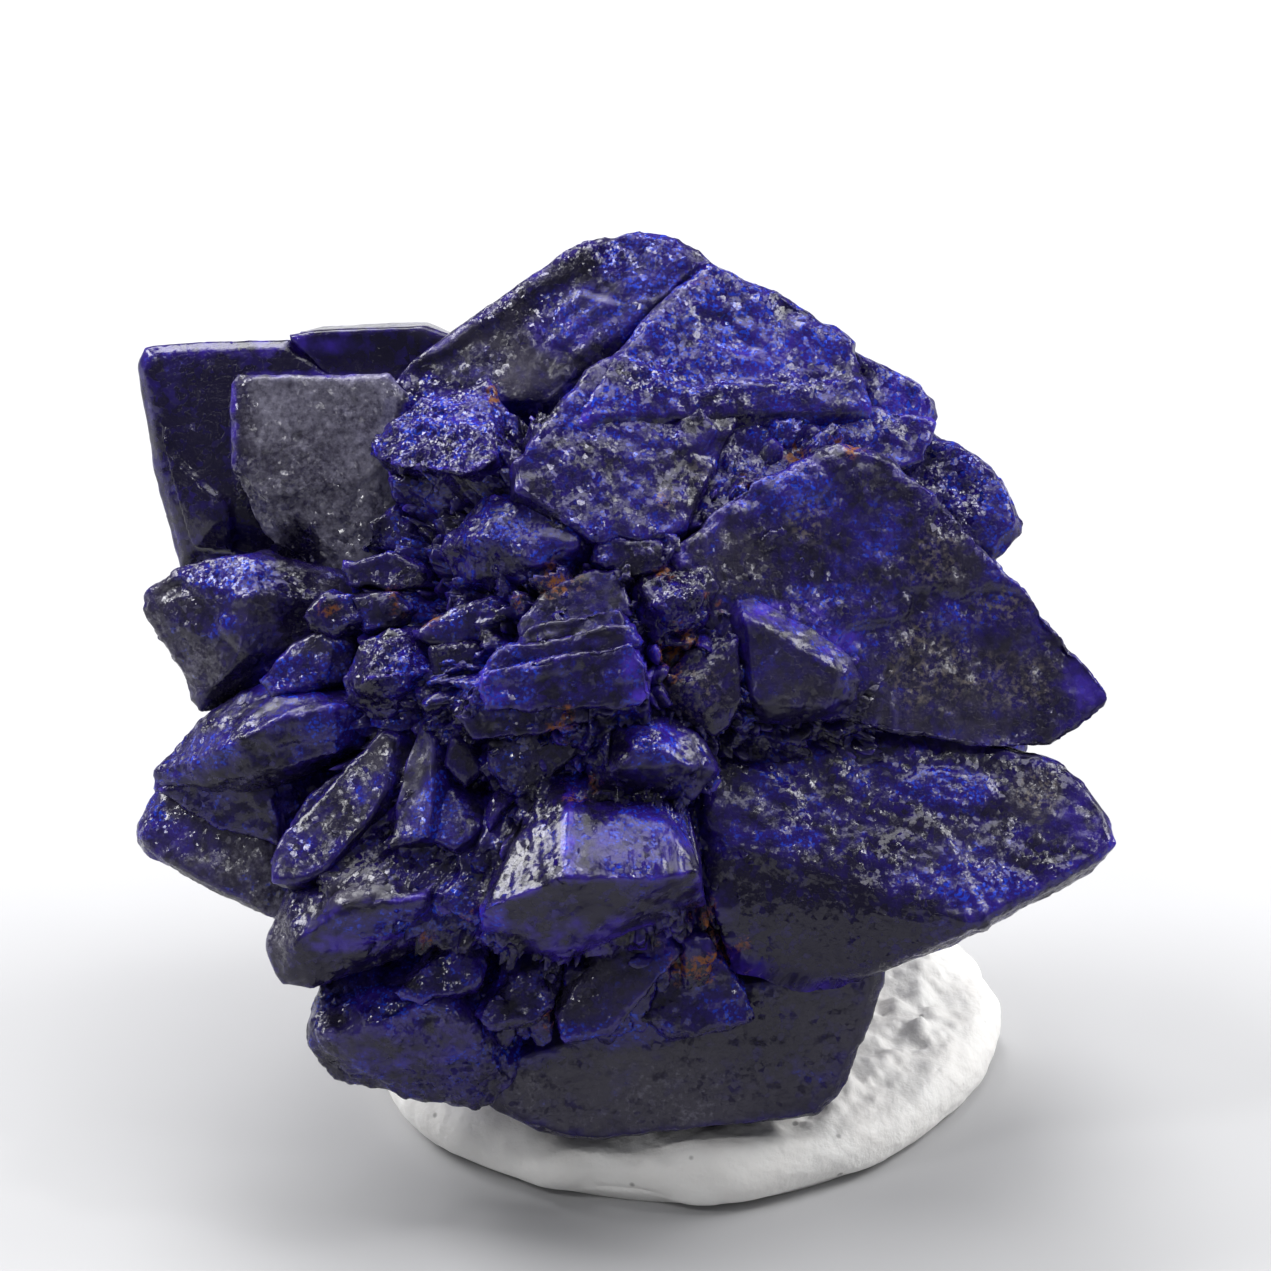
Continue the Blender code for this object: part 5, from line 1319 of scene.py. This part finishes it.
def azurite_material(looks):
    """Dark blue glassy crystal. Clear patches are bright blue with painted blue glints, thin edges get a
    painted violet glow, some faces are dulled grey, partly as a painted sheen, or filmed with pale dust,
    hollows get painted shade and hold rust, and tiny facets turned at random catch the light."""
    found = bpy.data.materials.get(AZURITE)
    if found:
        return found
    material, tree, shader, coords = new_material(AZURITE)
    masks = attribute_parts(tree, MASKS)
    tones = attribute_parts(tree, TONES)
    _, glint, _, gloss = tones
    mottle = noise_of(tree, coords, MOTTLE_SIZE)
    speckle = noise_of(tree, coords, SPECKLE_SIZE, 4.0, 0.65)
    big_chance, big_tilt = facet_cells(tree, coords, BIG_FACET)
    small_chance, small_tilt = facet_cells(tree, coords, SMALL_FACET)
    color, film, stain = azurite_color(tree, looks, masks, tones, (mottle, speckle),
                                       (big_chance, small_chance))
    feed(tree, shader.inputs["Base Color"], color)

    lively = between(tree, glint, 0.0, 1.0, 0.09, 1.0)
    rough = between(tree, gloss, 0.0, 1.0, looks.roughness, looks.roughness * 0.3)
    jitter = math(tree, "MULTIPLY", lively, between(tree, big_chance, 0.0, 1.0, 0.14, -0.22))
    rough = math(tree, "ADD", rough, jitter)
    rough = math(tree, "ADD", rough, math(tree, "MULTIPLY", film, 0.2))
    rough = math(tree, "ADD", rough, math(tree, "MULTIPLY", stain, 0.35), clamp=True)
    feed(tree, shader.inputs["Roughness"], rough)
    feed(tree, shader.inputs["IOR"], looks.refraction)

    # one facet in five is turned twice as far
    odd_one = between(tree, big_chance, 0.80, 0.82, 1.0, 2.2)
    tilt = math(tree, "ADD", math(tree, "MULTIPLY", big_tilt, odd_one),
                math(tree, "MULTIPLY", small_tilt, 0.75))
    tilt = math(tree, "MULTIPLY", tilt, lively)
    grit = math(tree, "MULTIPLY", speckle, GRIT_HEIGHT * MM)
    bump = add_node(tree, "ShaderNodeBump", height=math(tree, "ADD", tilt, grit), strength=looks.facet_tilt,
                    distance=1.0)
    feed(tree, shader.inputs["Normal"], bump.outputs["Normal"])
    return material


def putty_material(putty):
    """Matt warm white putty: faintly mottled, finely pitted, with a few grey specks."""
    material, tree, shader, coords = new_material("white_putty_finish")
    mottle = noise_of(tree, coords, 1.1)
    fine = noise_of(tree, coords, 0.16)
    color = blend_color(tree, between(tree, mottle, 0.35, 0.65), putty.color, putty.shade_color)
    specks = add_node(tree, "ShaderNodeTexVoronoi", vector=coords, scale=1 / (SPECK_SPACING * MM))
    speck = between(tree, specks.outputs["Distance"], 0.05, 0.09, 0.7, 0.0)
    feed(tree, shader.inputs["Base Color"], blend_color(tree, speck, color, putty.speck_color))
    feed(tree, shader.inputs["Roughness"], between(tree, fine, 0.3, 0.7, 0.45, 0.75))
    height = math(tree, "ADD", math(tree, "MULTIPLY", fine, 0.05), math(tree, "MULTIPLY", mottle, 0.10))
    bump = add_node(tree, "ShaderNodeBump", height=height, strength=0.6, distance=MM)
    feed(tree, shader.inputs["Normal"], bump.outputs["Normal"])
    return material


def floor_material(studio):
    """Pale, faintly uneven tabletop."""
    material, tree, shader, coords = new_material("pale_floor")
    cloud = noise_of(tree, coords, 9.0)
    darker = tuple(part * 0.96 for part in studio.floor_color)
    feed(tree, shader.inputs["Base Color"], blend_color(tree, cloud, studio.floor_color, darker))
    feed(tree, shader.inputs["Roughness"], 0.7)
    return material


# The pad, the floor, the lights and the camera

FLOOR_ROWS = 9
SIGHT = 5  # how far the camera sees, in metres
SKY_COLOR = (0.95, 0.97, 1.0, 1)

# Softboxes: name, place and side in metres, and power in watts
SOFTBOXES = (
    ("right_softbox", (0.192, 0.070, 0.152), 0.11, 0.44),
    ("left_softbox", (-0.177, 0.0864, 0.163), 0.10, 0.50),
    ("high_back_softbox", (-0.048, 0.157, 0.198), 0.11, 0.36),
    ("top_softbox", (0.013, 0.074, 0.289), 0.20, 0.52),
    ("right_glint_light", (0.143, -0.012, 0.214), 0.020, 0.06),
    ("left_glint_light", (-0.145, -0.101, 0.186), 0.030, 0.09),
)


def smooth_curve(corners, steps):
    """A Catmull-Rom curve through the corners, steps points to a stretch, its end tangents level."""
    padded = np.concatenate((corners[:1], corners, corners[-1:]))
    t = np.linspace(0, 1, steps, endpoint=False)[:, None]
    before, start, end, after = (padded[k:len(padded) - 3 + k, None] for k in range(4))
    curve = 0.5 * (2 * start + (end - before) * t + (2 * before - 5 * start + 4 * end - after) * t**2
                   + (3 * start - before - 3 * end + after) * t**3)
    return np.concatenate((curve.reshape(-1, corners.shape[1]), corners[-1:]))


def pad_surface(putty):
    """The pad as a profile carried round a circle: place = middle + (r cos a, r sin a, h), where r and h
    follow the smoothed rim profile times slow waves round the pad, pushed out along the profile's own
    normal by noise. Both poles are single points."""
    profile = smooth_curve(np.array(PAD_RINGS), PAD_RING_STEPS)
    turns = np.linspace(0, 2 * pi, round(2 * pi * PAD_RADIUS / PAD_STEP), endpoint=False)
    sway, swell = (1 + sum(share * np.sin(count * turns + phase) for count, share, phase in waves)
                   for waves in (PAD_SWAY, PAD_SWELL))
    slope = np.gradient(profile * (PAD_RADIUS, PAD_HEIGHT), axis=0)
    slope /= np.linalg.norm(slope, axis=1, keepdims=True)
    radius = PAD_RADIUS * profile[:, 0, None] * sway
    height = PAD_HEIGHT * profile[:, 1, None] * swell
    around = np.stack((np.cos(turns), np.sin(turns)))
    middle = HEART[:2] + PAD_MIDDLE
    flat = np.stack((radius * around[0] + middle[0], radius * around[1] + middle[1], height), axis=-1)
    dents, tears = (sum(share * noise(flat, size, seed) for share, size, seed in noises)
                    for noises in (PAD_DENTS, PAD_TEARS))
    sides_torn = TORN_SWAY[0] + TORN_SWAY[1] * np.cos(turns - TORN_TOWARDS)
    torn = ((TORN_FROM - profile[:, 0, None]) / TORN_RAMP).clip(0, 1) * sides_torn * tears
    push = (dents - DENT_LEVEL + TEAR_STRENGTH * torn) * putty.dent_depth / MM
    push = push * (flat[..., 2] / PAD_STILL).clip(0, 1)
    out = slope[:, 1]
    up = -slope[:, 0]
    flat[..., 0] += push * out[:, None] * around[0]
    flat[..., 1] += push * out[:, None] * around[1]
    flat[..., 2] = np.maximum(flat[..., 2] + push * up[:, None], 0)
    rings, sides = flat.shape[:2]
    index = np.arange(rings * sides).reshape(rings, sides)
    after = np.roll(index, -1, axis=1)
    quads = np.stack((index[:-1], after[:-1], after[1:], index[1:]), axis=-1).reshape(-1, 4)
    below, above = rings * sides, rings * sides + 1
    under = np.stack((after[0], index[0], np.full(sides, below)), axis=-1)
    over = np.stack((index[-1], after[-1], np.full(sides, above)), axis=-1)
    poles = np.array(((*middle, 0), (*middle, flat[-1, :, 2].mean())))
    return np.concatenate((flat.reshape(-1, 3), poles)), quads, np.concatenate((under, over))


def soft_light(name, place, aim, size, power):
    """A square softbox at a place, in metres, turned to its aim."""
    light = bpy.data.lights.new(name, "AREA")
    light.size = size
    light.energy = power
    holder = bpy.data.objects.new(name, light)
    holder.location = place
    holder.rotation_euler = (Vector(aim) - Vector(place)).to_track_quat("-Z", "Y").to_euler()
    bpy.context.scene.collection.objects.link(holder)


def add_floor(studio):
    """The floor: a square grid, z = 0."""
    side = np.linspace(-studio.floor_size / 2, studio.floor_size / 2, FLOOR_ROWS)
    x, y = np.meshgrid(side, side)
    index = np.arange(x.size).reshape(x.shape)
    quads = np.stack((index[:-1, :-1], index[:-1, 1:], index[1:, 1:], index[1:, :-1]), axis=-1)
    no_triangles = np.zeros((0, 3), int)
    floor = new_piece("floor", np.column_stack((x.ravel(), y.ravel(), np.zeros(x.size))),
                      quads.reshape(-1, 4), no_triangles)
    floor.data.materials.append(floor_material(studio))


def add_camera(studio):
    """A long lens that looks straight at the show plane, aimed beside the heart, so that the heart stands
    at HEART_PIXEL of the frame."""
    camera = bpy.data.objects.new("camera", bpy.data.cameras.new("camera"))
    right, up, forward = SHOW_AXES
    half_frame = FRAME_SIDE / 2
    aim = (HEART - right * (HEART_PIXEL[0] - half_frame) / PIXELS_PER_MM
           + up * (HEART_PIXEL[1] - half_frame) / PIXELS_PER_MM) * MM
    camera.location = aim + forward * studio.camera_distance
    camera.rotation_euler = (pi / 2 - radians(SHOW_LEAN), 0, 0)
    seen_width = FRAME_SIDE / PIXELS_PER_MM * MM
    camera.data.lens = camera.data.sensor_width * studio.camera_distance / seen_width
    camera.data.clip_end = SIGHT
    bpy.context.scene.collection.objects.link(camera)
    bpy.context.scene.camera = camera


# Settings

def color_setting(name, description, default):
    """A colour that a user may change."""
    return FloatVectorProperty(name=name, description=description, subtype="COLOR", default=default)


def length_setting(name, description, default, least, most):
    """A length in metres that a user may change."""
    return FloatProperty(name=name, description=description, default=default, min=least, max=most,
                         subtype="DISTANCE", unit="LENGTH")


def number_setting(name, description, default, least, most):
    """A plain number that a user may change."""
    return FloatProperty(name=name, description=description, default=default, min=least, max=most)


class AzuriteLooks(bpy.types.PropertyGroup):
    """The crystals' relief and finish."""
    relief: number_setting("Relief", "How strongly the crystals' skin stands out", 1.0, 0.0, 2.0)
    roughness: number_setting("Roughness", "Roughness of the dullest facets", 0.42, 0.0, 1.0)
    refraction: number_setting("Refraction", "Azurite's index of refraction", 1.46, 1.0, 2.5)
    facet_tilt: number_setting("Facet tilt", "How far the tiny facets turn", 0.8, 0.0, 1.0)
    deep_color: color_setting("Deep blue", "Colour of thick crystal", (0.004, 0.0016, 0.022))
    bright_color: color_setting("Bright blue", "Colour of clear blue patches", (0.0155, 0.0050, 0.148))
    # Painted light: the violet glow painted on thin, lit edges.
    painted_edge_glow_color: color_setting("Violet edge", "Colour of thin edges", (0.055, 0.022, 0.42))
    # Painted light: the blue glints painted on tiny cells of clear crystal.
    painted_spark_color: color_setting("Blue sparks", "Colour of the brightest tiny facets", (0.010, 0.045, 0.55))
    # Grey is partly painted sheen: dulled faces, and faces turned to the light; the pale colour below is a
    # painted silvery sheen on the greyest faces.
    grey_color: color_setting("Dull grey", "Colour of the dulled faces", (0.038, 0.033, 0.061))
    painted_pale_sheen_color: color_setting("Pale grey", "Colour of the dullest face", (0.19, 0.182, 0.245))
    dust_color: color_setting("Dust", "Colour of the pale film on some faces", (0.14, 0.118, 0.100))
    # Painted shade: the colour that the hollows are darkened to.
    painted_hollow_shade_color: color_setting("Hollows", "Colour deep in the hollows", (0.0030, 0.0022, 0.011))
    rust_color: color_setting("Rust", "Colour of the rust in the clefts", (0.20, 0.060, 0.009))


class PuttyLooks(bpy.types.PropertyGroup):
    """The pad's surface and finish."""
    dent_depth: length_setting("Dents", "Depth of the pad's pressed dents", 0.00022, 0.0, 0.001)
    color: color_setting("Putty", "Colour of the putty", (0.97, 0.96, 0.935))
    shade_color: color_setting("Putty shade", "Colour of its mottling", (0.95, 0.93, 0.90))
    speck_color: color_setting("Specks", "Colour of the few specks in it", (0.25, 0.24, 0.24))


class StudioLooks(bpy.types.PropertyGroup):
    """The floor, the lights and the camera."""
    camera_distance: length_setting("Camera distance", "From the heart to the camera", 0.45, 0.1, 2.0)
    floor_size: length_setting("Floor size", "Width of the square floor", 1.6, 0.1, 5.0)
    floor_color: color_setting("Floor", "Colour of the floor", (0.48, 0.48, 0.49))
    light_power: number_setting("Light power", "Strength of the softboxes together", 1.0, 0.0, 20.0)
    sky: number_setting("Surroundings", "Brightness of the pale surroundings", 0.22, 0.0, 5.0)


# Operators: one for each group of crystals, the pad and the stage

class PlateGroupOperator:
    """What the operators for the groups of show-side crystals share."""
    bl_options = {"REGISTER", "UNDO"}
    group = ""
    seed = 0

    def execute(self, context):
        depth_scale = context.scene.azurite.relief
        surfaces = [plate_surface(plate, SHOW_STEP, self.seed + SEED_STEP * number, depth_scale)
                    for number, plate in enumerate(SHOW_GROUPS[self.group])]
        crystal_piece(self.group, surfaces)
        return {"FINISHED"}


class AZURITE_OT_crown(PlateGroupOperator, bpy.types.Operator):
    """Adds the crystals at the top of the rosette"""
    bl_idname = "azurite.crown_crystals"
    bl_label = "Crown crystals"
    group = "crown_crystals"
    seed = 100


class AZURITE_OT_right(PlateGroupOperator, bpy.types.Operator):
    """Adds the two long blades on the right"""
    bl_idname = "azurite.right_blades"
    bl_label = "Right blades"
    group = "right_blades"
    seed = 200


class AZURITE_OT_left(PlateGroupOperator, bpy.types.Operator):
    """Adds the tablets and blocks on the left"""
    bl_idname = "azurite.left_crystals"
    bl_label = "Left crystals"
    group = "left_crystals"
    seed = 300


class AZURITE_OT_lower(PlateGroupOperator, bpy.types.Operator):
    """Adds the prow, the knuckle and log to its left, and the foot block and small crystals under it"""
    bl_idname = "azurite.lower_crystals"
    bl_label = "Lower crystals"
    group = "lower_crystals"
    seed = 400


class AZURITE_OT_middle(PlateGroupOperator, bpy.types.Operator):
    """Adds the small crystals round the heart of the show side"""
    bl_idname = "azurite.middle_crystals"
    bl_label = "Middle crystals"
    group = "middle_crystals"
    seed = 500


class AZURITE_OT_book(PlateGroupOperator, bpy.types.Operator):
    """Adds the stack of thin leaves left of the prow"""
    bl_idname = "azurite.book_crystals"
    bl_label = "Book crystals"
    group = "book_crystals"
    seed = 800


class AZURITE_OT_teeth(PlateGroupOperator, bpy.types.Operator):
    """Adds the row of teeth over the foot block"""
    bl_idname = "azurite.foot_teeth"
    bl_label = "Foot teeth"
    group = "foot_teeth"
    seed = 480


class AZURITE_OT_back(bpy.types.Operator):
    """Adds the blades of the sides, back and underside"""
    bl_idname = "azurite.back_blades"
    bl_label = "Back blades"
    bl_options = {"REGISTER", "UNDO"}

    def execute(self, context):
        depth_scale = context.scene.azurite.relief
        surfaces = spoke_surfaces(SPOKES, ("sugar", "smooth", "coarse"), BACK_STEP, BACK_SEED, depth_scale)
        crystal_piece("back_blades", surfaces)
        return {"FINISHED"}


class AZURITE_OT_clefts(bpy.types.Operator):
    """Adds the intergrown middle, and the stubs and splinters that crowd the clefts"""
    bl_idname = "azurite.cleft_crystals"
    bl_label = "Cleft crystals"
    bl_options = {"REGISTER", "UNDO"}

    def execute(self, context):
        depth_scale = context.scene.azurite.relief
        clefts = Clefts()
        stubs = spoke_surfaces(scatter_spokes(), ("coarse",), SMALL_STEP, STUB_SEED, depth_scale)
        crystal_piece("cleft_crystals", stubs)
        crystal_piece("intergrown_middle", [core_surface(clefts, depth_scale)])
        splinters = spoke_surfaces(splinter_spokes(clefts), ("splinter",), SPLINTER_STEP, SPLINTER_SKIN_SEED,
                                   depth_scale, SPLINTER_FINE)
        crystal_piece("cleft_splinters", splinters)
        return {"FINISHED"}


class AZURITE_OT_pad(bpy.types.Operator):
    """Adds the putty pad"""
    bl_idname = "azurite.pressed_pad"
    bl_label = "Putty pad"
    bl_options = {"REGISTER", "UNDO"}

    def execute(self, context):
        putty = context.scene.azurite_putty
        places, quads, triangles = pad_surface(putty)
        piece = new_piece("pressed_pad", places * MM, quads, triangles)
        piece.data.materials.append(putty_material(putty))
        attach(piece, "root")
        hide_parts(PAD)
        return {"FINISHED"}


class AZURITE_OT_stage(bpy.types.Operator):
    """Adds the floor, the softboxes, the pale surroundings and the camera"""
    bl_idname = "azurite.stage"
    bl_label = "Stage"
    bl_options = {"REGISTER", "UNDO"}

    def execute(self, context):
        studio = context.scene.azurite_studio
        add_floor(studio)
        heart = HEART * MM
        for name, place, size, power in SOFTBOXES:
            soft_light(name, place, heart, size, power * studio.light_power)
        world = bpy.data.worlds.new("pale_surroundings")
        world.use_nodes = True
        background = world.node_tree.nodes["Background"]
        background.inputs["Color"].default_value = SKY_COLOR
        background.inputs["Strength"].default_value = studio.sky
        context.scene.world = world
        context.scene.view_settings.view_transform = "Standard"
        add_camera(studio)
        return {"FINISHED"}


OPERATORS = (AZURITE_OT_crown, AZURITE_OT_right, AZURITE_OT_left, AZURITE_OT_lower, AZURITE_OT_middle,
             AZURITE_OT_book, AZURITE_OT_teeth, AZURITE_OT_back, AZURITE_OT_clefts, AZURITE_OT_pad,
             AZURITE_OT_stage)


class AZURITE_PT_panel(bpy.types.Panel):
    """Lists the pieces of the specimen"""
    bl_label = "Azurite specimen"
    bl_idname = "AZURITE_PT_panel"
    bl_space_type = "VIEW_3D"
    bl_region_type = "UI"
    bl_category = "Azurite"

    def draw(self, context):
        for settings in (context.scene.azurite, context.scene.azurite_putty, context.scene.azurite_studio):
            for name in settings.__annotations__:
                self.layout.prop(settings, name)
        for operator in OPERATORS:
            self.layout.operator(operator.bl_idname)


CLASSES = (AzuriteLooks, PuttyLooks, StudioLooks, *OPERATORS, AZURITE_PT_panel)


def register():
    for each in CLASSES:
        bpy.utils.register_class(each)
    bpy.types.Scene.azurite = PointerProperty(type=AzuriteLooks)
    bpy.types.Scene.azurite_putty = PointerProperty(type=PuttyLooks)
    bpy.types.Scene.azurite_studio = PointerProperty(type=StudioLooks)


def unregister():
    del bpy.types.Scene.azurite_studio
    del bpy.types.Scene.azurite_putty
    del bpy.types.Scene.azurite
    for each in reversed(CLASSES):
        bpy.utils.unregister_class(each)


def main():
    register()
    bpy.ops.azurite.crown_crystals()
    bpy.ops.azurite.right_blades()
    bpy.ops.azurite.left_crystals()
    bpy.ops.azurite.lower_crystals()
    bpy.ops.azurite.middle_crystals()
    bpy.ops.azurite.book_crystals()
    bpy.ops.azurite.foot_teeth()
    bpy.ops.azurite.back_blades()
    bpy.ops.azurite.cleft_crystals()
    bpy.ops.azurite.pressed_pad()
    bpy.ops.azurite.stage()


if __name__ == "__main__":
    main()
